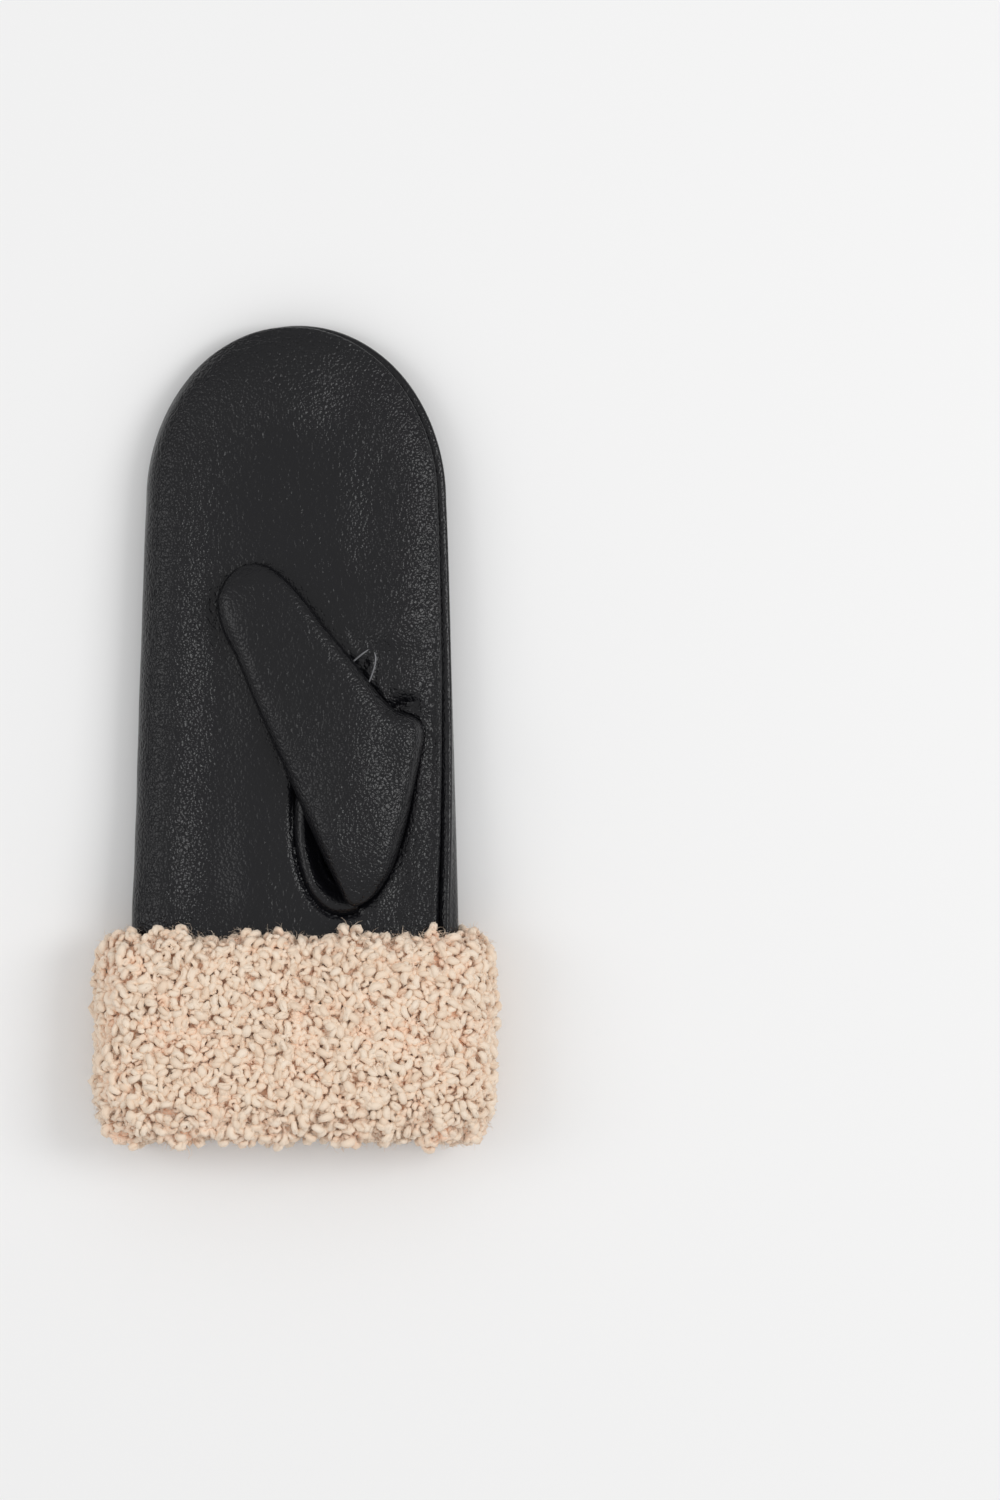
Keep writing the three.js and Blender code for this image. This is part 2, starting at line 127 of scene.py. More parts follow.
def half_width(from_tip):
    """Half the mitten's width at a distance from the fingertip: half an ellipse, then a slow flare."""
    left = np.clip((round_end - from_tip) / round_end, 0, 1)
    flare = np.clip((from_tip - round_end) / (wrist_from_tip - round_end), 0, 1)
    return knuckle_width / 2 * np.sqrt(1 - left**2) + (wrist_width - knuckle_width) / 2 * flare**wrist_flare


def swell(rows, x, y):
    """Rounded rises and hollows, added up at places of the plan."""
    rise = np.zeros(np.broadcast(x, y).shape)
    for row in rows:
        across = (x - row["x"]) / row["wide"]
        lengthwise = (y - row["y"]) / row["long"]
        rise += row["rise"] * np.exp(-(across**2) - lengthwise**2)
    return rise


def roundness(share):
    """How far the skin bulges at a share of the half width: 1 in the middle and 0 at the side edge."""
    return np.sqrt(np.clip(1 - np.abs(share) ** crown_power, 0, 1))


def body_point(base, reach, angle):
    """The mitten's skin along a ray from its middle line. The angle is a quarter turn there, 0 at the side
    edge and negative on the underside."""
    share = np.cos(angle)
    x = base[..., 0] + reach[..., 0] * share
    y = base[..., 1] + reach[..., 1] * share
    along = (fingertip_y - y) / leather_length
    edge = palm_height * row_curve(body_sections, "edge", along)
    crown = palm_height * row_curve(body_sections, "crown", along)
    sole = cuff_lift * np.maximum(row_curve(body_sections, "sole", along), 0)
    fade = np.clip((wrist_from_tip + swells_past_wrist - along * leather_length) / swells_fade, 0, 1)
    top = edge + (crown - edge + swell(palm_swells, x, y) * fade) * roundness(share)
    flat = roundness(share) * sole_spread
    bottom = edge - (edge - sole) * np.minimum(flat, 1)
    return np.stack([x, y, np.where(angle >= 0, top, bottom)], -1)


def palm_z(x, y):
    """Height of the palm's skin at a place of the plan."""
    from_tip = fingertip_y - y
    width = np.where(from_tip < round_end, knuckle_width / 2, half_width(from_tip))
    share = np.minimum(np.hypot(x / width, np.maximum(round_end - from_tip, 0) / round_end), 1)
    angle = np.arccos(share)
    safe = np.maximum(share, 1e-6)
    base = np.zeros(np.broadcast(x, y).shape + (2,))
    base[..., 1] = np.where(from_tip < round_end, fingertip_y - round_end, y)
    reach = np.stack([x / safe, (y - base[..., 1]) / safe], -1)
    return body_point(base, reach, angle)[..., 2]


def run_along(path):
    """How far each point of a path is from its start, along it."""
    return np.concatenate([[0], np.cumsum(np.linalg.norm(np.diff(path, axis=0), axis=1))])


def smoothed(values, reach):
    """A running mean over as many neighbours as the reach says, on each side."""
    window = 2 * reach + 1
    return np.convolve(np.pad(values, reach, mode="edge"), np.ones(window) / window, mode="valid")


# Rays from the middle line to the outline, one for each step along the seam: up the outer side, round the
# fingertips and down the thumb side.
rim_step = 1.3
round_end_run = 176.0
side_change_rows = 3
seam_smoothing = 4
mouth_y = fingertip_y - leather_length
straight_rows = int((fingertip_y - round_end - mouth_y) / rim_step)
round_rows = int(round_end_run / rim_step)
straight_y = np.linspace(mouth_y, fingertip_y - round_end, straight_rows + 1)
turn = np.linspace(0, math.pi, round_rows + 1)[1:-1]
straight_reach = half_width(fingertip_y - straight_y)
ray_base = np.concatenate(
    [
        np.stack([0 * straight_y, straight_y], -1),
        np.stack([0 * turn, 0 * turn + fingertip_y - round_end], -1),
        np.stack([0 * straight_y, straight_y[::-1]], -1),
    ]
)
ray_reach = np.concatenate(
    [
        np.stack([-straight_reach, 0 * straight_y], -1),
        np.stack([-knuckle_width / 2 * np.cos(turn), round_end * np.sin(turn)], -1),
        np.stack([straight_reach[::-1], 0 * straight_y], -1),
    ]
)
rim = ray_base + ray_reach
rim_along = (fingertip_y - rim[:, 1]) / leather_length
on_thumb_side = np.arange(len(rim)) > len(rim) // 2 - side_change_rows
inset_thumb = row_curve(seam_sections, "thumb_side", rim_along)
inset_outer = row_curve(seam_sections, "outer_side", rim_along)
ray_length = np.linalg.norm(ray_reach, axis=1)
seam_angle = np.where(
    on_thumb_side,
    np.arccos(1 - np.clip(inset_thumb, 0, None) / ray_length),
    -np.arccos(1 - np.clip(inset_outer, 0, None) / ray_length),
)
seam_angle = smoothed(seam_angle, seam_smoothing)
rim_run = run_along(rim)

# Steps inwards from the seam, close together where the leather turns down into it.
seam_steps = np.array([0, 0.25, 0.5, 0.8, 1.15, 1.55, 2.0, 2.5, 3.1, 3.8, 4.6, 5.5, 6.5, 7.6, 8.8])


def panel_grid(last_angle, inner_rows):
    """The skin from the seam to the middle line, with each point's distance along the skin from the seam."""
    fine_steps = 260
    points, distances = [], []
    for i in range(len(rim)):
        angles = np.linspace(seam_angle[i], last_angle, fine_steps)
        path = body_point(ray_base[i], ray_reach[i], angles)
        run = run_along(path)
        inner = np.linspace(seam_steps[-1], run[-1], inner_rows + 1)[1:]
        stops = np.concatenate([seam_steps, inner])
        at = np.interp(stops, run, angles)
        points.append(body_point(ray_base[i], ray_reach[i], at))
        distances.append(stops)
    return np.array(points), np.array(distances)


def unit(vectors):
    """The same directions with a length of one."""
    return vectors / np.maximum(np.linalg.norm(vectors, axis=-1, keepdims=True), 1e-9)


def grid_normals(points):
    return unit(np.cross(np.gradient(points, axis=1), np.gradient(points, axis=0)))


# How the leather turns down into a seam, and the soft roll that stands beside it.
palm_seam = {"groove": 1.6, "reach": 0.95, "power": 1.5, "roll": 0.75, "roll_at": 2.3, "roll_reach": 1.5}
hole_seam = {"groove": 1.3, "reach": 0.95, "power": 1.5, "roll": 0.2, "roll_at": 3.5, "roll_reach": 1.8}


def seam_profile(distance, seam):
    """Height of the leather at a distance from a seam."""
    groove = seam["groove"] * np.exp(-((distance / seam["reach"]) ** seam["power"]))
    roll = seam["roll"] * np.exp(-(((distance - seam["roll_at"]) / seam["roll_reach"]) ** 2))
    return roll - groove


def slack(x, y, seed, size, height):
    """Gentle unevenness of a soft skin, in waves about as long as size."""
    flat_x, flat_y = x.ravel(), y.ravel()
    values = [noise.noise(Vector((a / size, b / size, seed))) for a, b in zip(flat_x, flat_y)]
    return height * np.array(values).reshape(x.shape)


merge_distance = 0.02


def mesh_from_grid(name, points, run, distance, flip):
    """A sheet through a grid of points. Its UV map is the run along the seam and the distance from it."""
    rows, columns = points.shape[:2]
    index = np.arange(rows * columns).reshape(rows, columns)
    quads = np.stack([index[:-1, :-1], index[:-1, 1:], index[1:, 1:], index[1:, :-1]], -1)
    quads = quads.reshape(-1, 4)
    if flip:
        quads = quads[:, ::-1]
    mesh = bpy.data.meshes.new(name)
    mesh.from_pydata((points.reshape(-1, 3) * MM).tolist(), [], quads.tolist())
    uv = np.stack([np.broadcast_to(run[:, None], distance.shape).ravel(), distance.ravel()], -1) * MM
    layer = mesh.uv_layers.new(name="UVMap")
    corners = np.empty(len(mesh.loops), int)
    mesh.loops.foreach_get("vertex_index", corners)
    layer.data.foreach_set("uv", uv[corners].ravel())
    piece = bpy.data.objects.new(name, mesh)
    bpy.context.scene.collection.objects.link(piece)
    bm = bmesh.new()
    bm.from_mesh(mesh)
    bmesh.ops.remove_doubles(bm, verts=bm.verts, dist=merge_distance * MM)
    bm.to_mesh(mesh)
    bm.free()
    return piece


def choose(piece):
    """Select one piece alone, as operators need it."""
    bpy.ops.object.select_all(action="DESELECT")
    piece.select_set(True)
    bpy.context.view_layer.objects.active = piece


def thicken(piece, wall):
    """Gives a sheet its wall, on its inner side."""
    choose(piece)
    solid = piece.modifiers.new("wall", "SOLIDIFY")
    solid.thickness = wall * MM
    solid.offset = -1
    bpy.ops.object.modifier_apply(modifier=solid.name)


def full_turn(steps):
    """Angles spread evenly round a circle."""
    return np.linspace(0, 2 * math.pi, steps + 1)[:-1]


# The thumb's hole: an oval, except that its right side stays under the thumb. The thumb's own outline is also
# used here, from its lowest stitch (0) to its tip (1), measured across its line.
thumb_length = 123.8
thumb_width = 49.8
thumb_height = 10.6
thumb_base = np.array([19.0, -61.0])
thumb_lean = math.radians(17.6)
thumb_line = np.array([-math.sin(thumb_lean), math.cos(thumb_lean)])
thumb_across = np.array([thumb_line[1], -thumb_line[0]])
thumb_sections = [
    {"along": 0.000, "left": 0.050, "right": 0.070, "height": 0.30, "seam_drop": 0.9},
    {"along": 0.004, "left": 0.025, "right": 0.125, "height": 0.38, "seam_drop": 0.9},
    {"along": 0.012, "left": 0.005, "right": 0.178, "height": 0.45, "seam_drop": 0.9},
    {"along": 0.024, "left": -0.014, "right": 0.232, "height": 0.52, "seam_drop": 0.9},
    {"along": 0.075, "left": -0.036, "right": 0.372, "height": 0.74, "seam_drop": 0.9},
    {"along": 0.170, "left": -0.072, "right": 0.538, "height": 0.95, "seam_drop": 0.9},
    {"along": 0.270, "left": -0.100, "right": 0.680, "height": 1.00, "seam_drop": 0.9},
    {"along": 0.340, "left": -0.117, "right": 0.777, "height": 0.98, "seam_drop": 0.9},
    {"along": 0.396, "left": -0.130, "right": 0.850, "height": 0.95, "seam_drop": 0.8},
    {"along": 0.430, "left": -0.140, "right": 0.858, "height": 0.93, "seam_drop": 0.6},
    {"along": 0.456, "left": -0.148, "right": 0.820, "height": 0.92, "seam_drop": 0.4},
    {"along": 0.485, "left": -0.158, "right": 0.730, "height": 0.92, "seam_drop": 0.2},
    {"along": 0.520, "left": -0.167, "right": 0.665, "height": 0.92, "seam_drop": 0.1},
    {"along": 0.586, "left": -0.186, "right": 0.600, "height": 0.93, "seam_drop": 0.0},
    {"along": 0.655, "left": -0.205, "right": 0.542, "height": 0.93, "seam_drop": 0.0},
    {"along": 0.760, "left": -0.229, "right": 0.437, "height": 0.92, "seam_drop": 0.0},
    {"along": 0.832, "left": -0.257, "right": 0.373, "height": 0.90, "seam_drop": 0.0},
    {"along": 0.880, "left": -0.259, "right": 0.325, "height": 0.86, "seam_drop": 0.0},
    {"along": 0.937, "left": -0.225, "right": 0.253, "height": 0.76, "seam_drop": 0.0},
    {"along": 0.973, "left": -0.150, "right": 0.187, "height": 0.60, "seam_drop": 0.0},
    {"along": 0.985, "left": -0.108, "right": 0.150, "height": 0.52, "seam_drop": 0.0},
    {"along": 0.993, "left": -0.069, "right": 0.112, "height": 0.46, "seam_drop": 0.0},
    {"along": 0.998, "left": -0.027, "right": 0.071, "height": 0.42, "seam_drop": 0.0},
    {"along": 1.000, "left": 0.012, "right": 0.032, "height": 0.40, "seam_drop": 0.0},
]
hole_centre = np.array([22.4, -18.6])
hole_reach = (21.9, 45.5)
hole_lean = math.radians(10)
hole_steps = 360
thumb_overhang = 1.3

round_the_hole = full_turn(hole_steps)
hole_right = np.array([math.cos(hole_lean), -math.sin(hole_lean)])
hole_up = np.array([math.sin(hole_lean), math.cos(hole_lean)])
hole_outline = (
    hole_centre
    + np.outer(np.cos(round_the_hole) * hole_reach[0], hole_right)
    + np.outer(np.sin(round_the_hole) * hole_reach[1], hole_up)
)
along_thumb = (hole_outline - thumb_base) @ thumb_line
across_thumb = (hole_outline - thumb_base) @ thumb_across
right_edge = row_curve(thumb_sections, "right", along_thumb / thumb_length) * thumb_width
across_thumb = np.minimum(across_thumb, right_edge - thumb_overhang)
hole_outline = thumb_base + np.outer(along_thumb, thumb_line) + np.outer(across_thumb, thumb_across)


def distance_to_line(x, y, line):
    """Shortest distance from places of the plan to a line of points."""
    start, end = line[:-1], line[1:]
    step = end - start
    square = np.maximum((step**2).sum(1), 1e-9)
    nearest = np.full(x.shape, 1e9)
    for a, d, q in zip(start, step, square):
        t = np.clip(((x - a[0]) * d[0] + (y - a[1]) * d[1]) / q, 0, 1)
        nearest = np.minimum(nearest, np.hypot(x - a[0] - t * d[0], y - a[1] - t * d[1]))
    return nearest


# Every second point of the hole's edge is enough to measure from.
hole_line = np.concatenate([hole_outline, hole_outline[:1]])[::2]

# Creases that the thumb pulls into the palm beside its upper end, from one place to another. A negative depth
# is a ridge.
palm_creases = [
    {"from": (26.2, 28.0), "to": (25.0, 33.0), "wide": 0.7, "depth": 0.5},
    {"from": (26.3, 27.6), "to": (26.5, 27.2), "wide": 0.9, "depth": 0.9},
    {"from": (30.0, 31.5), "to": (42.0, 42.0), "wide": 4.2, "depth": -0.9},
    {"from": (29.0, 26.5), "to": (44.0, 27.5), "wide": 2.8, "depth": 0.6},
    {"from": (23.5, 28.0), "to": (18.5, 36.0), "wide": 1.6, "depth": 0.4},
    {"from": (22.0, 21.0), "to": (25.2, 24.2), "wide": 1.6, "depth": 1.3},
    {"from": (25.8, 27.0), "to": (20.8, 22.9), "wide": 0.7, "depth": 0.7},
    {"from": (28.9, 26.8), "to": (27.2, 17.0), "wide": 0.7, "depth": 0.7},
    {"from": (33.6, 7.6), "to": (38.5, 10.2), "wide": 1.6, "depth": 1.4},
    {"from": (38.5, 10.2), "to": (43.0, 9.0), "wide": 1.9, "depth": 1.0},
    {"from": (44.6, 9.0), "to": (42.9, 3.4), "wide": 0.8, "depth": -0.8},
    {"from": (30.4, 15.2), "to": (30.8, 10.8), "wide": 0.5, "depth": -0.25},
    {"from": (34.0, 14.0), "to": (43.0, 15.0), "wide": 2.8, "depth": -0.7},
]


def crease(rows, x, y):
    """Furrows that die away at both ends, a little past them."""
    past_end, fade_speed = 0.15, 3
    fall = np.zeros(x.shape)
    for row in rows:
        start = np.array(row["from"])
        step = np.array(row["to"]) - start
        t = ((x - start[0]) * step[0] + (y - start[1]) * step[1]) / np.linalg.norm(step) ** 2
        held = np.clip(t, 0, 1)
        side = np.hypot(x - start[0] - held * step[0], y - start[1] - held * step[1])
        fade = np.clip(np.minimum(t + past_end, 1 + past_end - t) * fade_speed, 0, 1)
        fall -= row["depth"] * np.exp(-((side / row["wide"]) ** 2)) * fade
    return fall


palm_inner_rows = 36
taut_beside_seam = 8.0
palm_points, palm_distance = panel_grid(math.pi / 2, palm_inner_rows)
palm_unevenness = slack(palm_points[..., 0], palm_points[..., 1], seed=3.1, size=17, height=0.28)
palm_unevenness *= np.clip(palm_distance / taut_beside_seam, 0, 1)
palm_rise = seam_profile(palm_distance, palm_seam) + palm_unevenness
palm_place = palm_points + grid_normals(palm_points) * palm_rise[..., None]
palm = mesh_from_grid("palm_leather", palm_place, rim_run, palm_distance, flip=False)

# The palm is cut finer where the thumb is sewn in and pulls at it, and turned down into that seam.
fine_beside_hole = 5.0
pull_centre = (33.0, 22.0)
pull_reach = 19.0
pull_lowest_y = 2.0
most_corners = 4


def plan_of(bm):
    """The x and the y of each point of a mesh."""
    place = np.array([v.co for v in bm.verts]) / MM
    return place[:, 0], place[:, 1]


bm = bmesh.new()
bm.from_mesh(palm.data)
x, y = plan_of(bm)
near = distance_to_line(x, y, hole_line) < fine_beside_hole
near |= (np.hypot(x - pull_centre[0], y - pull_centre[1]) < pull_reach) & (y > pull_lowest_y)
bm.verts.ensure_lookup_table()
edges = [e for e in bm.edges if near[e.verts[0].index] and near[e.verts[1].index]]
bmesh.ops.subdivide_edges(bm, edges=edges, cuts=1, use_grid_fill=True)
bmesh.ops.triangulate(bm, faces=[f for f in bm.faces if len(f.verts) > most_corners])
x, y = plan_of(bm)
rise = seam_profile(distance_to_line(x, y, hole_line), hole_seam) + crease(palm_creases, x, y)
for vertex, z in zip(bm.verts, rise):
    vertex.co.z += z * MM
bm.to_mesh(palm.data)
bm.free()
thicken(palm, leather_wall)

# The hole itself is cut with a post that is then thrown away.
post_low = 11.0
post_high = 45.0
post_points = [(x * MM, y * MM, z * MM) for z in (post_low, post_high) for x, y in hole_outline]
post_ends = [list(range(hole_steps))[::-1], list(range(hole_steps, 2 * hole_steps))]
post_sides = [
    [i, (i + 1) % hole_steps, (i + 1) % hole_steps + hole_steps, i + hole_steps] for i in range(hole_steps)
]
post_mesh = bpy.data.meshes.new("hole_post")
post_mesh.from_pydata(post_points, [], post_ends + post_sides)
post = bpy.data.objects.new("hole_post", post_mesh)
bpy.context.scene.collection.objects.link(post)
choose(palm)
cut = palm.modifiers.new("hole", "BOOLEAN")
cut.object = post
cut.solver = "MANIFOLD"
bpy.ops.object.modifier_apply(modifier=cut.name)
bpy.data.objects.remove(post)


def paint(piece, label, value_at):
    """Write one value for each point of a piece, found from its place in the plan."""
    place = np.empty(len(piece.data.vertices) * 3, np.float32)
    piece.data.vertices.foreach_get("co", place)
    x, y = place.reshape(-1, 3)[:, :2].T / MM
    values = piece.data.attributes.new(label, "FLOAT", "POINT")
    values.data.foreach_set("value", value_at(x, y).astype(np.float32))


def smoothstep(low, high, value):
    """Turns softly from 0 at low to 1 at high."""
    t = np.clip((value - low) / (high - low), 0, 1)
    return t * t * (3 - 2 * t)


taut_share = 0.3
slack_share = 0.75


def palm_slack(x, y):
    """How slack the skin lies: 0 on the stretched middle of the palm, 1 along its sides and round the tip."""
    beyond = np.maximum(round_end - (fingertip_y - y), 0) / round_end
    return smoothstep(taut_share, slack_share, np.hypot(x / (knuckle_width / 2), beyond))


paint(palm, "slack", palm_slack)


def new_group(name, inputs, outputs):
    """An empty node group with named inputs and outputs, and its two end nodes."""
    group = bpy.data.node_groups.new(name, "ShaderNodeTree")
    for label, kind, value in inputs:
        socket = group.interface.new_socket(label, in_out="INPUT", socket_type=kind)
        if value is not None:
            socket.default_value = value
    for label, kind in outputs:
        group.interface.new_socket(label, in_out="OUTPUT", socket_type=kind)
    return group, group.nodes.new("NodeGroupInput"), group.nodes.new("NodeGroupOutput")


def feed(tree, socket, value):
    """Link a socket to another node's output, or set it to a plain value."""
    if isinstance(value, bpy.types.NodeSocket):
        tree.links.new(value, socket)
    elif value is not None:
        socket.default_value = value


def math_node(tree, operation, first, second=None, third=None):
    node = tree.nodes.new("ShaderNodeMath")
    node.operation = operation
    for socket, value in zip(node.inputs, (first, second, third)):
        feed(tree, socket, value)
    return node.outputs[0]


def noise_node(tree, vector, scale, detail):
    node = tree.nodes.new("ShaderNodeTexNoise")
    node.inputs["Scale"].default_value = scale
    node.inputs["Detail"].default_value = detail
    tree.links.new(vector, node.inputs["Vector"])
    return node


def stretched_map(tree, factors):
    """The piece's own UV map, with its u and v multiplied. Gives the plain map as well."""
    plain = tree.nodes.new("ShaderNodeUVMap")
    plain.uv_map = "UVMap"
    stretch = tree.nodes.new("ShaderNodeVectorMath")
    stretch.operation = "MULTIPLY"
    stretch.inputs[1].default_value = factors
    tree.links.new(plain.outputs["UV"], stretch.inputs[0])
    return plain.outputs["UV"], stretch.outputs[0]


def bump_node(tree, height, distance):
    node = tree.nodes.new("ShaderNodeBump")
    feed(tree, node.inputs["Height"], height)
    feed(tree, node.inputs["Distance"], distance)
    return node.outputs["Normal"]


def painted_value(tree, label):
    """A value that was painted on the piece's points."""
    node = tree.nodes.new("ShaderNodeAttribute")
    node.attribute_name = label
    return node.outputs["Fac"]


# The grain is cells with drifting borders, over a soft unevenness. It puckers beside a seam, and it is deeper
# where the skin is slack. Scales are per metre, and reaches and depths are metres.
drift_scale, drift_reach = 420, 0.0022
soft_scale, soft_height = 160, 0.25
puckers_along, puckers_across = 900.0, 130.0
pucker_end, pucker_full = 0.0075, 0.001
least_depth, slack_depth = 0.75, 0.75

grain, grain_in, grain_out = new_group(
    "leather grain",
    [
        ("Cells per metre", "NodeSocketFloat", 900.0),
        ("Depth", "NodeSocketFloat", 0.0001),
        ("Seam puckers", "NodeSocketFloat", 0.0),
    ],
    [("Normal", "NodeSocketVector"), ("Wear", "NodeSocketFloat")],
)
coords = grain.nodes.new("ShaderNodeTexCoord").outputs["Object"]
drift = noise_node(grain, coords, drift_scale, detail=2)
shift = grain.nodes.new("ShaderNodeVectorMath")
shift.operation = "MULTIPLY_ADD"
shift.inputs[1].default_value = (drift_reach, drift_reach, drift_reach)
grain.links.new(drift.outputs["Color"], shift.inputs[0])
grain.links.new(coords, shift.inputs[2])
cells = grain.nodes.new("ShaderNodeTexVoronoi")
cells.feature = "F1"
grain.links.new(shift.outputs[0], cells.inputs["Vector"])
grain.links.new(grain_in.outputs["Cells per metre"], cells.inputs["Scale"])
plateau = math_node(grain, "SUBTRACT", 1.0, math_node(grain, "POWER", cells.outputs["Distance"], 2.0))
soft = noise_node(grain, coords, soft_scale, detail=4).outputs["Fac"]
height = math_node(grain, "ADD", plateau, math_node(grain, "MULTIPLY", soft, soft_height))

seam_map, pucker_map = stretched_map(grain, (puckers_along, puckers_across, 1.0))
pucker = noise_node(grain, pucker_map, scale=1, detail=1).outputs["Fac"]
from_seam = grain.nodes.new("ShaderNodeSeparateXYZ")
grain.links.new(seam_map, from_seam.inputs[0])
beside = grain.nodes.new("ShaderNodeMapRange")
beside.interpolation_type = "SMOOTHSTEP"
beside.inputs["From Min"].default_value = pucker_end
beside.inputs["From Max"].default_value = pucker_full
grain.links.new(from_seam.outputs["Y"], beside.inputs["Value"])
at_seam = math_node(grain, "MULTIPLY", beside.outputs["Result"], grain_in.outputs["Seam puckers"])
height = math_node(grain, "ADD", height, math_node(grain, "MULTIPLY", at_seam, pucker))

slackness = math_node(grain, "MULTIPLY_ADD", painted_value(grain, "slack"), slack_depth, least_depth)
depth = math_node(grain, "MULTIPLY", slackness, grain_in.outputs["Depth"])
grain.links.new(bump_node(grain, height, depth), grain_out.inputs["Normal"])
grain.links.new(soft, grain_out.inputs["Wear"])


def leather_material(name, colour, roughness, grain_depth, puckers):
    """Aniline-dyed nappa: a low sheen that changes a little over the skin, and the grain."""
    worn_spread = 0.25
    material = bpy.data.materials.new(name)
    material.use_nodes = True
    tree = material.node_tree
    shader = tree.nodes["Principled BSDF"]
    shader.inputs["Base Color"].default_value = colour
    shader.inputs["Specular IOR Level"].default_value = 0.3
    surface = tree.nodes.new("ShaderNodeGroup")
    surface.node_tree = grain
    surface.inputs["Depth"].default_value = grain_depth
    surface.inputs["Seam puckers"].default_value = puckers
    tree.links.new(surface.outputs["Normal"], shader.inputs["Normal"])
    worn = math_node(tree, "MULTIPLY_ADD", surface.outputs["Wear"], worn_spread, roughness - worn_spread / 2)
    tree.links.new(worn, shader.inputs["Roughness"])
    return material


def dress(piece, material):
    """Give a finished piece its material and its body."""
    piece.data.materials.clear()
    piece.data.materials.append(material)
    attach(piece, "root")


leather = leather_material(
    "nappa", (0.0045, 0.0045, 0.0058, 1), roughness=0.19, grain_depth=0.0002, puckers=0.9
)
palm.data.shade_smooth()
dress(palm, leather)
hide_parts("palm_panel")

# Welts of the thumb's seam
# Two narrow folded edges of the leather meet in a point at the upper end of the thumb's seam. They lie on the
# palm beside the thumb, sewn into the seam, and are painted paler than the rest as a painted highlight of the
# light catching their edges.


def strand(path, thickness, sides):
    """A tube of changing thickness along a path."""
    tangent = unit(np.gradient(path, axis=0))
    side = np.cross(tangent[0], [0.3, 0.2, 1.0])
    angle = full_turn(sides)[:, None]
    rings = []
    for place, direction, radius in zip(path, tangent, thickness):
        side = unit(side - direction * side.dot(direction))
        other = np.cross(direction, side)
        rings.append(place + radius * (np.cos(angle) * side + np.sin(angle) * other))
    return np.array(rings)


def mesh_from_rings(name, rings, joined_ends=True):
    """A skin through rings of points, with its two ends drawn together or left open."""
    rows, columns = rings.shape[:2]
    index = np.arange(rows * columns).reshape(rows, columns)
    following = np.roll(index, -1, axis=1)
    quads = np.stack([index[:-1], following[:-1], following[1:], index[1:]], -1).reshape(-1, 4)
    verts = (rings.reshape(-1, 3) * MM).tolist()
    faces = quads.tolist()
    if joined_ends:
        verts += (rings[[0, -1]].mean(axis=1) * MM).tolist()
        low, high = rows * columns, rows * columns + 1
        faces += [[index[0, (i + 1) % columns], index[0, i], low] for i in range(columns)]
        faces += [[index[-1, i], index[-1, (i + 1) % columns], high] for i in range(columns)]
    mesh = bpy.data.meshes.new(name)
    mesh.from_pydata(verts, [], faces)
    piece = bpy.data.objects.new(name, mesh)
    bpy.context.scene.collection.objects.link(piece)
    bm = bmesh.new()
    bm.from_mesh(mesh)
    bmesh.ops.recalc_face_normals(bm, faces=bm.faces)
    bm.to_mesh(mesh)
    bm.free()
    return piece


welt_lines = [
    [(25.4, 28.3), (23.0, 26.6), (20.5, 24.5), (17.5, 22.0)],
    [(27.3, 27.6), (27.8, 25.6), (27.6, 23.2), (26.8, 20.4), (25.7, 17.5), (24.0, 14.0)],
]
welt_steps = 30
welt_radius = 0.3
welt_lift = 0.12
welt_smoothing = 3
welt_sides = 8

# A welt grows from half its thickness, at the point where the two meet.
welt_radii = welt_radius * np.clip(np.linspace(0.5, 3, welt_steps), 0, 1)
welt_pieces = []
for corners in welt_lines:
    order = np.arange(len(corners))
    at = np.linspace(0, len(corners) - 1, welt_steps)
    x, y = (smoothed(np.interp(at, order, column), welt_smoothing) for column in zip(*corners))
    z = palm_z(x, y) + crease(palm_creases, x, y) + welt_lift
    welt_rings = strand(np.stack([x, y, z], -1), welt_radii, welt_sides)
    welt_pieces.append(mesh_from_rings("welt", welt_rings))
choose(welt_pieces[0])
for piece in welt_pieces:
    piece.select_set(True)
bpy.ops.object.join()
welt = bpy.context.object
welt.name = "thumb_seam_welt"

# The welts' copy of the nappa is painted pale grey: a painted highlight along the folded edges.
welt_painted_glint = leather_material(
    "welt_painted_glint", (0.2, 0.2, 0.21, 1), roughness=0.3, grain_depth=0.00012, puckers=0.0
)
welt.data.shade_smooth()
dress(welt, welt_painted_glint)

# Back panel
# The back is a second sheet of the same leather. It wraps round the thumb side onto the palm as a narrow
# rolled strip, and otherwise lies on the table.
back_inner_rows = 20
back_seam = dict(palm_seam, roll=1.0)
seam_full_height = 1.2
back_points, back_distance = panel_grid(-math.pi / 2, back_inner_rows)
back_rise = seam_profile(back_distance, back_seam) * np.clip(back_points[..., 2] / seam_full_height, 0, 1)
back_place = back_points - grid_normals(back_points) * back_rise[..., None]
back_place[..., 2] = np.maximum(back_place[..., 2], 0)
back = mesh_from_grid("back_leather", back_place, rim_run, back_distance, flip=True)
thicken(back, leather_wall)
back.data.shade_smooth()
dress(back, leather)
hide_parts("back_panel")

# Thumb
# A pouch of the same leather, sewn into the hole and folded flat over the palm towards the fingertips. Its
# left side is a free fold, and its lower right side bulges over the seam.
thumb_rows = 120
thumb_columns = 76
thumb_power = 7.0
thumb_edge = 0.42
bed_gap = 0.5
even_rows_share = 0.35
thumb_swells = [
    {"x": 19.0, "y": -10.0, "wide": 9.0, "long": 20.0, "rise": 1.2},
    {"x": 34.0, "y": -14.0, "wide": 7.0, "long": 14.0, "rise": -1.1},
    {"x": 12.0, "y": -38.0, "wide": 7.0, "long": 18.0, "rise": 0.9},
    {"x": -6.0, "y": 22.0, "wide": 9.0, "long": 20.0, "rise": -0.9},
]
end_turn = np.linspace(0, math.pi, thumb_rows)
thumb_at = even_rows_share * np.linspace(0, 1, thumb_rows)
thumb_at += (1 - even_rows_share) * (1 - np.cos(end_turn)) / 2
round_thumb = full_turn(thumb_columns)
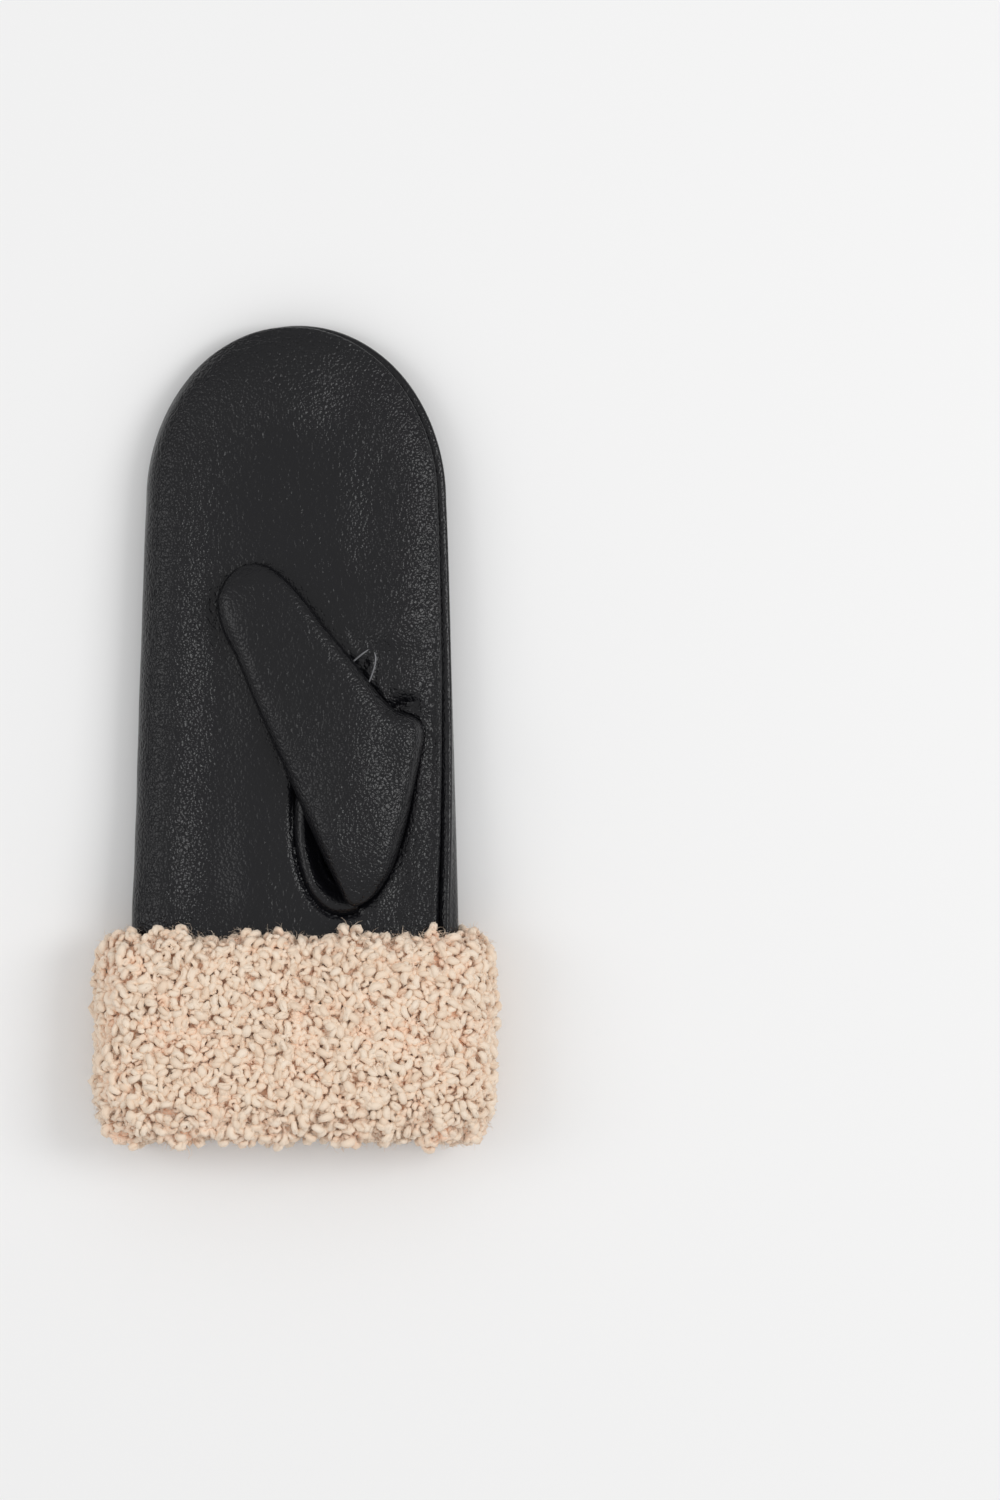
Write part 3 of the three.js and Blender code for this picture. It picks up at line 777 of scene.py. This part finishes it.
thumb_left = row_curve(thumb_sections, "left", thumb_at)[:, None] * thumb_width
thumb_right = row_curve(thumb_sections, "right", thumb_at)[:, None] * thumb_width
thumb_rise = row_curve(thumb_sections, "height", thumb_at)[:, None] * thumb_height
seam_drop = row_curve(thumb_sections, "seam_drop", thumb_at)[:, None]
across = (thumb_left + thumb_right) / 2 + (thumb_right - thumb_left) / 2 * np.cos(round_thumb)
thumb_x = thumb_base[0] + thumb_line[0] * thumb_at[:, None] * thumb_length + thumb_across[0] * across
thumb_y = thumb_base[1] + thumb_line[1] * thumb_at[:, None] * thumb_length + thumb_across[1] * across
thumb_bed = palm_z(thumb_x, thumb_y) + bed_gap
thumb_round = np.sqrt(np.clip(1 - np.abs(np.cos(round_thumb)) ** thumb_power, 0, 1))[None, :]
edge_height = thumb_rise * thumb_edge * (1 - seam_drop * (1 + np.cos(round_thumb)) / 2)
thumb_top = edge_height + (thumb_rise - edge_height) * thumb_round
thumb_low = edge_height * (1 - np.minimum(thumb_round * sole_spread, 1))
thumb_z = thumb_bed + np.where(np.sin(round_thumb) >= 0, thumb_top, thumb_low)
thumb_slack = swell(thumb_swells, thumb_x, thumb_y) + slack(thumb_x, thumb_y, seed=8.7, size=15, height=0.3)
thumb_z += thumb_slack * np.clip(2 * np.sin(round_thumb), 0, 1)
thumb = mesh_from_rings("thumb_leather", np.stack([thumb_x, thumb_y, thumb_z], -1))

# Its skin is slacker towards the seam than at its tip.
tip_slackness = 0.3
taut_from_y = 30.0
slack_from_y = -10.0
paint(
    thumb,
    "slack",
    lambda x, y: tip_slackness + (1 - tip_slackness) * smoothstep(taut_from_y, slack_from_y, y),
)
# The thumb and its web take a copy of the nappa that is painted a shade darker than the palm's, as painted
# shade, and is a little rougher with shallower grain.
thumb_shaded_nappa = leather_material(
    "nappa_thumb_painted_shade", (0.004, 0.004, 0.0052, 1), roughness=0.21, grain_depth=0.00018, puckers=0.0
)
thumb.data.shade_smooth()
dress(thumb, thumb_shaded_nappa)
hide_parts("thumb")

# The web of the thumb: the strip that is sewn into the hole and dips under the free fold.
web_steps = np.array([0, 0.25, 0.5, 0.8, 1.2, 1.7, 2.3, 3.0, 3.8, 4.7, 5.7, 6.8, 8.0, 9.5, 11.0])
web_seam = {"groove": 1.5, "reach": 1.0, "power": 1.4, "roll": 1.0, "roll_at": 3.4, "roll_reach": 2.2}
web_dip = 2.2
web_dip_at = 7.6
web_dip_reach = 0.9
web_wall = 1.2
web_middle = np.array([24.0, -22.0])
inwards = unit(web_middle - hole_outline)
web_x = hole_outline[:, 0] + inwards[:, 0] * web_steps[:, None]
web_y = hole_outline[:, 1] + inwards[:, 1] * web_steps[:, None]
web_rise = seam_profile(web_steps, web_seam)
web_rise -= web_dip / (1 + np.exp(-(web_steps - web_dip_at) / web_dip_reach))
web_z = palm_z(web_x, web_y) + web_rise[:, None] + slack(web_x, web_y, seed=5.2, size=6, height=0.25)
web = mesh_from_rings("thumb_web", np.stack([web_x, web_y, web_z], -1), joined_ends=False)
thicken(web, web_wall)
web.data.shade_smooth()
dress(web, thumb_shaded_nappa)

# Turned-up cuff
# Curly fleece, the inside of a sheepskin, turned up over the leather at the wrist and sewn down inside. Its
# skin is hidden under the pile, so a lumpy band carries the curls.
cuff_sections = [
    {"along": 0.00, "back": 65.5, "stand": 0.8, "side": 0.8},
    {"along": 0.03, "back": 67.3, "stand": 2.6, "side": 3.2},
    {"along": 0.07, "back": 66.3, "stand": 4.4, "side": 6.4},
    {"along": 0.13, "back": 61.0, "stand": 5.5, "side": 8.8},
    {"along": 0.25, "back": 49.0, "stand": 5.8, "side": 9.2},
    {"along": 0.40, "back": 33.0, "stand": 5.4, "side": 8.8},
    {"along": 0.55, "back": 17.0, "stand": 5.6, "side": 9.2},
    {"along": 0.64, "back": 8.0, "stand": 5.0, "side": 8.2},
    {"along": 0.70, "back": 3.2, "stand": 3.2, "side": 5.2},
    {"along": 0.75, "back": 1.6, "stand": 0.2, "side": 0.3},
    {"along": 0.80, "back": 3.4, "stand": -3.4, "side": -3.4},
    {"along": 0.86, "back": 8.5, "stand": -3.8, "side": -3.8},
    {"along": 1.00, "back": 20.0, "stand": -3.8, "side": -3.8},
]
cuff_rows = 110
cuff_columns = 240

# Waves round the sleeve move both edges of the cuff, and die away from them.
cuff_waves = [
    {"height": 1.5, "waves": 11, "start": 0.7},
    {"height": 1.2, "waves": 19, "start": 2.1},
    {"height": 0.8, "waves": 31, "start": 0.0},
]
mouth_along = 0.7
wave_reach = 0.09


def cuff_point(turn_angle, along):
    """A place on the fleece. The angle goes round the sleeve, and along runs from the upper edge over the
    mouth and inside."""
    back = row_curve(cuff_sections, "back", along)
    stand = row_curve(cuff_sections, "stand", along)
    side = row_curve(cuff_sections, "side", along)
    y = -mitten_length / 2 + back
    from_tip = np.minimum(fingertip_y - y, leather_length)
    width = half_width(from_tip)
    share = np.cos(turn_angle)
    base = np.zeros(np.broadcast(turn_angle, y).shape + (2,))
    base[..., 1] = fingertip_y - from_tip
    reach = np.zeros_like(base)
    reach[..., 0] = width
    top = body_point(base, reach, np.arccos(np.abs(share)))[..., 2]
    bottom = body_point(base, reach, -np.arccos(np.abs(share)) - 1e-9)[..., 2]
    lift = stand * np.minimum(roundness(share) * sole_spread, 1)
    z = np.where(np.sin(turn_angle) >= 0, top + lift, bottom - lift)
    wave = sum(row["height"] * np.sin(row["waves"] * turn_angle + row["start"]) for row in cuff_waves)
    at_edges = np.exp(-((along / wave_reach) ** 2)) - np.exp(-(((along - mouth_along) / wave_reach) ** 2))
    y = y + wave * at_edges
    return np.stack([width * share * (1 + side / width), y + 0 * z, z], -1)


# Round the sleeve the steps are even along the skin, not in angle, and so are those of the profile.
measured_along = 0.3
fine_turn = np.linspace(0, 2 * math.pi, 2001)
fine_run = run_along(cuff_point(fine_turn, np.full_like(fine_turn, measured_along)))
cuff_round = fine_run[-1]
profile_share = np.linspace(0, 1, 400)
profile_run = run_along(cuff_point(np.full_like(profile_share, math.pi / 2), profile_share))


def turn_at(run):
    """The angle round the sleeve at a distance along its skin."""
    return np.interp(np.mod(run, cuff_round), fine_run, fine_turn)


def clump_of(run, down):
    """The pile stands in soft clumps, each of a few curls."""
    return slack(run, down, seed=4.4, size=11, height=1.3)


band_sink = 0.1
band_lowest = 0.3
along_cuff, run_cuff = np.meshgrid(
    np.linspace(0, 1, cuff_rows), np.linspace(0, cuff_round, cuff_columns + 1)[:-1], indexing="ij"
)
down_cuff = np.interp(along_cuff, profile_share, profile_run)
band_points = cuff_point(turn_at(run_cuff), along_cuff)
lump = clump_of(run_cuff, down_cuff) + slack(run_cuff, down_cuff, seed=2.9, size=2.6, height=1.3) - band_sink
round_step = np.roll(band_points, -1, axis=1) - np.roll(band_points, 1, axis=1)
band_points = band_points + unit(np.cross(round_step, np.gradient(band_points, axis=0))) * lump[..., None]
band_points[..., 2] = np.maximum(band_points[..., 2], band_lowest)
band = mesh_from_rings("fleece_band", band_points, joined_ends=False)

# A curl is a fat lock that winds round an axis, with a few loose strands on it. The tilt of the axis, in
# degrees, makes it a ring seen from above or a petal that bends over.
lock_kinds = [
    {"turns": 0.80, "reach": 1.25, "end_reach": 0.85, "climb": 0.9, "thick": 1.25},
    {"turns": 0.65, "reach": 1.55, "end_reach": 1.05, "climb": 0.4, "thick": 1.45},
    {"turns": 1.10, "reach": 1.65, "end_reach": 0.70, "climb": 1.3, "thick": 1.05},
    {"turns": 0.75, "reach": 1.90, "end_reach": 1.35, "climb": 0.6, "thick": 1.30},
    {"turns": 0.90, "reach": 1.20, "end_reach": 1.70, "climb": -0.8, "thick": 1.10},
    {"turns": 1.25, "reach": 1.75, "end_reach": 1.15, "climb": 1.3, "thick": 0.85},
]
lock_tilts = [8, 25, 42, 58, 74, 90]
fattest_at = 0.43
taper_reach = 0.58
root_share = 0.14
root_depth = 1.2
loose_strands = 2
loose_radius = 0.26
loose_twist = 2.0


def wound_tube(kind, tilt, radius, spread, place, steps, sides):
    """One tube of a curl: (steps, sides, 3). It lies spread from the lock's middle, at a place round it."""
    t = np.linspace(0, 1, steps)[:, None]
    lean = math.radians(tilt)
    rise = np.array([0, math.cos(lean), math.sin(lean)])
    axis = np.array([0, -math.sin(lean), math.cos(lean)])
    wind = -math.pi / 2 + 2 * math.pi * kind["turns"] * t
    radial = np.cos(wind) * np.array([1.0, 0, 0]) + np.sin(wind) * rise
    swollen = np.sqrt(1 - ((t - fattest_at) / taper_reach) ** 2)
    around = place + loose_twist * t
    reach = kind["reach"] + (kind["end_reach"] - kind["reach"]) * t
    reach = reach + spread * swollen * np.cos(around)
    height = kind["climb"] * (t - 0.5) + spread * swollen * np.sin(around)
    path = np.array([0, 0, 0.3 + 0.8 * kind["reach"] * math.sin(lean)]) + reach * radial + height * axis
    path[:, 2:] -= root_depth * np.clip(1 - t / root_share, 0, 1)
    corner = full_turn(sides)
    ring = np.cos(corner)[None, :, None] * radial[:, None] + np.sin(corner)[None, :, None] * axis
    return path[:, None] + radius * swollen[:, None] * ring


def skin_frame(turn_angle, along):
    """A place on the fleece with its outward direction and the direction round the sleeve."""
    turn_step, along_step = 4e-3, 1e-3
    ahead = cuff_point(turn_angle + turn_step, along) - cuff_point(turn_angle - turn_step, along)
    down = cuff_point(turn_angle, np.minimum(along + along_step, 1))
    down = down - cuff_point(turn_angle, np.maximum(along - along_step, 0))
    return cuff_point(turn_angle, along), unit(np.cross(ahead, down)), unit(ahead)


# Every random draw of this file is made below, and the seed gives the same fleece each time.
random = np.random.default_rng(7)


def turned_basis(out, ahead, most_lean):
    """Three directions per place: spun round the outward one and then leant off it."""
    count = len(out)
    other = np.cross(out, ahead)
    lean = out + random.uniform(-most_lean, most_lean, (count, 1)) * ahead
    lean += random.uniform(-most_lean, most_lean, (count, 1)) * other
    lean = unit(lean)
    first = unit(ahead - lean * (ahead * lean).sum(1, keepdims=True))
    second = np.cross(lean, first)
    spin = random.uniform(0, 2 * math.pi, (count, 1))
    spun = np.cos(spin) * first + np.sin(spin) * second
    return spun, np.cos(spin) * second - np.sin(spin) * first, lean


def mesh_of_strands(name, batches):
    """Many closed tubes in one mesh. A batch holds their points (count, steps, sides, 3), a tone for each
    tube and a depth for each point. The UV map runs round and along each tube. Three-sided tubes stay
    faceted."""
    points, faces, maps, rounds, tones, depths = [], [], [], [], [], []
    first = 0
    for tubes, tone, depth in batches:
        count, steps, sides = tubes.shape[:3]
        index = first + np.arange(count * steps * sides).reshape(count, steps, sides)
        following = np.roll(index, -1, axis=2)
        quads = np.stack([index[:, :-1], index[:, 1:], following[:, 1:], following[:, :-1]], -1)
        u = (np.arange(sides)[:, None] + np.array([0, 0, 1, 1])) / sides
        v = (np.arange(steps - 1)[:, None] + np.array([0, 1, 1, 0])) / (steps - 1)
        uv = np.empty((count, steps - 1, sides, 4, 2))
        uv[..., 0] = u[None, None] + np.arange(count)[:, None, None, None]
        uv[..., 1] = v[None, :, None]
        faces += quads.reshape(-1, 4).tolist() + index[:, 0].tolist() + index[:, -1, ::-1].tolist()
        maps += [uv.ravel(), np.zeros(count * sides * 4)]
        rounds.append(np.full(count * ((steps - 1) * sides + 2), sides > 3))
        points.append(tubes.reshape(-1, 3))
        tones.append(np.repeat(tone, steps * sides))
        depths.append(depth.ravel())
        first += count * steps * sides
    mesh = bpy.data.meshes.new(name)
    mesh.from_pydata((np.concatenate(points) * MM).tolist(), [], faces)
    mesh.uv_layers.new(name="UVMap").data.foreach_set("uv", np.concatenate(maps))
    mesh.polygons.foreach_set("use_smooth", np.concatenate(rounds))
    for label, values in (("tone", tones), ("depth", depths)):
        values = np.concatenate(values).astype(np.float32)
        mesh.attributes.new(label, "FLOAT", "POINT").data.foreach_set("value", values)
    piece = bpy.data.objects.new(name, mesh)
    bpy.context.scene.collection.objects.link(piece)
    return piece


row_share = 0.87
lock_jitter = 0.45
lock_lean = 0.55
lowest_point = 0.05


def make_locks(name, profile_range, turn_range, pitch, rise, with_strands):
    """Curls strewn evenly over one part of the cuff, their roots raised off the skin by rise."""
    kinds = [(kind, tilt) for kind in lock_kinds for tilt in lock_tilts]
    steps, sides = (8, 7) if with_strands else (6, 5)
    bodies = [[wound_tube(kind, tilt, kind["thick"], 0, 0, steps, sides)] for kind, tilt in kinds]
    strands = []
    for kind, tilt in kinds:
        places = [random.uniform(0, 2 * math.pi) for part in range(loose_strands)]
        strands.append([wound_tube(kind, tilt, loose_radius, kind["thick"], place, 6, 3) for place in places])
    first, last = np.interp(profile_range, profile_share, profile_run)
    low, high = (np.interp(turn % (2 * math.pi), fine_turn, fine_run) for turn in turn_range)
    low -= cuff_round * (low > high)
    rows = int((last - first) / (pitch * row_share))
    around = int((high - low) / pitch)
    row, column = (g.ravel() for g in np.mgrid[0:rows, 0:around])
    count = len(row)
    jitter = random.uniform(-lock_jitter, lock_jitter, (2, count))
    run = low + (column + 0.5 * (row % 2) + jitter[0]) * (high - low) / around
    down = first + (row + 0.5) * (last - first) / rows + jitter[1] * pitch
    here, out, ahead = skin_frame(turn_at(run), np.interp(down, profile_run, profile_share))
    a, b, lean = (d[:, None, None, None] for d in turned_basis(out, ahead, lock_lean))
    root = here + out * (clump_of(run, down) + rise + random.uniform(-0.5, 0.5, count))[:, None]
    kind = random.integers(len(kinds), size=count)
    size = random.uniform(0.75, 1.25, (count, 1, 1, 1, 1))
    tone = random.uniform(0, 0.8, (count, 1))
    batches = []
    for shapes in (bodies, strands) if with_strands else (bodies,):
        shapes = np.array(shapes)
        shape = shapes[kind] * size
        places = root[:, None, None, None] + shape[..., :1] * a + shape[..., 1:2] * b + shape[..., 2:] * lean
        depth = ((places - here[:, None, None, None]) * out[:, None, None, None]).sum(-1)
        places[..., 2] = np.maximum(places[..., 2], lowest_point)
        each_tone = (tone + random.uniform(0, 0.4, (count, shapes.shape[1]))).ravel()
        batches.append((places.reshape(-1, *shapes.shape[2:]), each_tone, depth))
    return mesh_of_strands(name, batches)


past_side = 0.45
upper_side = (-past_side, math.pi + past_side)
under_side = (math.pi + past_side, 2 * math.pi - past_side)
all_round = (0.001, 2 * math.pi - 0.001)
fleece = [
    make_locks("fleece_upper", (0.01, 0.22), upper_side, pitch=2.7, rise=0.6, with_strands=True),
    make_locks("fleece_middle", (0.22, 0.46), upper_side, pitch=2.7, rise=0.6, with_strands=True),
    make_locks("fleece_lower", (0.46, 0.74), upper_side, pitch=2.7, rise=0.6, with_strands=True),
    make_locks("fleece_roots", (0.01, 0.74), upper_side, pitch=2.7, rise=-0.1, with_strands=False),
    make_locks("fleece_under", (0.01, 0.74), under_side, pitch=2.95, rise=0.2, with_strands=False),
    make_locks("fleece_inner", (0.74, 0.99), all_round, pitch=2.9, rise=0.2, with_strands=False),
]

fibre_lean = 0.9
fibre_root = 1.6
fibre_colour_depth = 5


def make_fuzz(name, count, start, end, length, thickness):
    """Loose single fibres that stand off the curls in arcs."""
    first, last = np.interp([start, end], profile_share, profile_run)
    run = random.uniform(0, cuff_round, count)
    down = random.uniform(first, last, count)
    here, out, ahead = skin_frame(turn_at(run), np.interp(down, profile_run, profile_share))
    a, b, lean = turned_basis(out, ahead, fibre_lean)
    t = np.linspace(0, 1, 4)[None, :, None]
    bend = random.uniform(1.2, 4.0, (count, 1, 1))
    reach = length * random.uniform(0.5, 1.0, (count, 1, 1)) / bend
    path = here[:, None] + (fibre_root + clump_of(run, down))[:, None, None] * out[:, None]
    path = path + reach * (np.sin(bend * t) * lean[:, None] + (1 - np.cos(bend * t)) * a[:, None])
    path = path + random.uniform(-1.5, 1.5, (count, 1, 1)) * t**2 * b[:, None]
    radius = thickness * (1 - 0.6 * t)
    angle = full_turn(3)[:, None]
    second = 0.3 * np.cross(lean, a) + a
    across = np.cos(angle) * b[:, None, None] + np.sin(angle) * second[:, None, None]
    places = path[:, :, None] + radius[..., None] * across
    places[..., 2] = np.maximum(places[..., 2], lowest_point)
    depth = np.full(places.shape[:-1], float(fibre_colour_depth))
    return mesh_of_strands(name, [(places, random.uniform(0, 1, count), depth)])


fleece += [
    make_fuzz("fleece_fuzz", count=3400, start=0.02, end=0.72, length=4.0, thickness=0.08),
    make_fuzz("fleece_edge_fuzz", count=2500, start=0.0, end=0.09, length=6.0, thickness=0.1),
    make_fuzz("fleece_lip_fuzz", count=3500, start=0.6, end=0.76, length=5.5, thickness=0.1),
]

# The wool is painted peach low down among the curls, as a painted warm shade for the crevices between them,
# and browner at the tips;
# it is paler from lock to lock, with fine fibres along each curl. Depths are millimetres above the skin, and
# the fibres' height is metres.
crevice_shade_colour = (0.98, 0.665, 0.48, 1)
tip_colour = (0.83, 0.645, 0.49, 1)
pale_lock_colour = (0.96, 0.87, 0.75, 1)
pale_lock_share = 0.45
shade_deepest_at, shade_ends_at = 0.2, 3.4
fibres_round, fibres_along = 12.0, 1.6
fibre_height = 0.0002

wool = bpy.data.materials.new("fleece")
wool.use_nodes = True
tree = wool.node_tree
shader = tree.nodes["Principled BSDF"]
shader.inputs["Roughness"].default_value = 0.75
shader.inputs["Specular IOR Level"].default_value = 0.3
shader.inputs["Sheen Weight"].default_value = 0.6
shader.inputs["Sheen Tint"].default_value = (1.0, 0.9, 0.78, 1)
shader.inputs["Sheen Roughness"].default_value = 0.5
out_of_shade = tree.nodes.new("ShaderNodeMapRange")
out_of_shade.inputs["From Min"].default_value = shade_deepest_at
out_of_shade.inputs["From Max"].default_value = shade_ends_at
tree.links.new(painted_value(tree, "depth"), out_of_shade.inputs["Value"])


def colour_mix(factor, first, second):
    node = tree.nodes.new("ShaderNodeMix")
    node.data_type = "RGBA"
    for label, value in (("Factor", factor), ("A", first), ("B", second)):
        feed(tree, node.inputs[label], value)
    return node.outputs["Result"]


# Painted shade: the colour turns from the crevice shade to the tip colour as a point stands higher above the
# skin.
painted_shade_by_depth = colour_mix(out_of_shade.outputs["Result"], crevice_shade_colour, tip_colour)
paleness = math_node(tree, "MULTIPLY", painted_value(tree, "tone"), pale_lock_share)
tree.links.new(colour_mix(paleness, painted_shade_by_depth, pale_lock_colour), shader.inputs["Base Color"])
lock_map, fibre_map = stretched_map(tree, (fibres_round, fibres_along, 1.0))
fibres = noise_node(tree, fibre_map, scale=1, detail=2)
tree.links.new(bump_node(tree, fibres.outputs["Fac"], fibre_height), shader.inputs["Normal"])

# The band has no depth, so it takes the painted crevice shade all over.
band.data.shade_smooth()
for piece in (band, *fleece):
    dress(piece, wool)
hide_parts("fleece_cuff")

# Table, camera and light, as in the photograph
# The camera looks straight down on a pale table, with one large softbox on the thumb side and a weaker one
# across from it.
frame_height = 520.5
frame_centre = (70.6, -6.4)
camera_height = 3000.0
sensor_size = 36
camera_data = bpy.data.cameras.new("camera")
camera_data.lens = sensor_size * camera_height / frame_height
camera = bpy.data.objects.new("camera", camera_data)
camera.location = (frame_centre[0] * MM, frame_centre[1] * MM, camera_height * MM)
bpy.context.scene.collection.objects.link(camera)
bpy.context.scene.camera = camera

bpy.ops.mesh.primitive_plane_add(size=4)
table = bpy.context.object
table.name = "table"
table_paint = bpy.data.materials.new("pale_table")
table_paint.use_nodes = True
shader = table_paint.node_tree.nodes["Principled BSDF"]
shader.inputs["Base Color"].default_value = (0.88, 0.88, 0.88, 1)
shader.inputs["Roughness"].default_value = 1
shader.inputs["Specular IOR Level"].default_value = 0
table.data.materials.append(table_paint)

# The room is evenly lit overhead and dimmer towards the ground.
world = bpy.data.worlds.new("room")
world.use_nodes = True
tree = world.node_tree
sky = tree.nodes.new("ShaderNodeTexCoord")
split = tree.nodes.new("ShaderNodeSeparateXYZ")
tree.links.new(sky.outputs["Generated"], split.inputs[0])
by_height = tree.nodes.new("ShaderNodeValToRGB")
stops = by_height.color_ramp.elements
for height, grey in ((0.0, 0.3), (0.15, 0.5), (0.5, 1.0)):
    stop = stops[0] if height == 0 else stops.new(height)
    stop.position = height
    stop.color = (grey, grey, grey, 1)
stops.remove(stops[-1])
tree.links.new(split.outputs["Z"], by_height.inputs["Fac"])
tree.links.new(by_height.outputs["Color"], tree.nodes["Background"].inputs["Color"])
tree.nodes["Background"].inputs["Strength"].default_value = 0.75
bpy.context.scene.world = world


def softbox(name, place, target, width, height, power):
    """A softbox at a place in metres, turned to what it lights, with its power in watts."""
    light = bpy.data.lights.new(name, "AREA")
    light.shape = "RECTANGLE"
    light.size, light.size_y = width, height
    light.energy = power
    lamp = bpy.data.objects.new(name, light)
    lamp.location = place
    lamp.rotation_euler = (Vector(target) - Vector(place)).to_track_quat("-Z", "Y").to_euler()
    bpy.context.scene.collection.objects.link(lamp)


softbox("key", place=(1.25, 0.2, 1.45), target=(0.05, 0, 0), width=0.7, height=1.0, power=11.0)
softbox("fill", place=(-1.2, 0.1, 1.2), target=(0.0, 0, 0), width=0.7, height=1.0, power=4.0)
bpy.context.scene.view_settings.view_transform = "Standard"
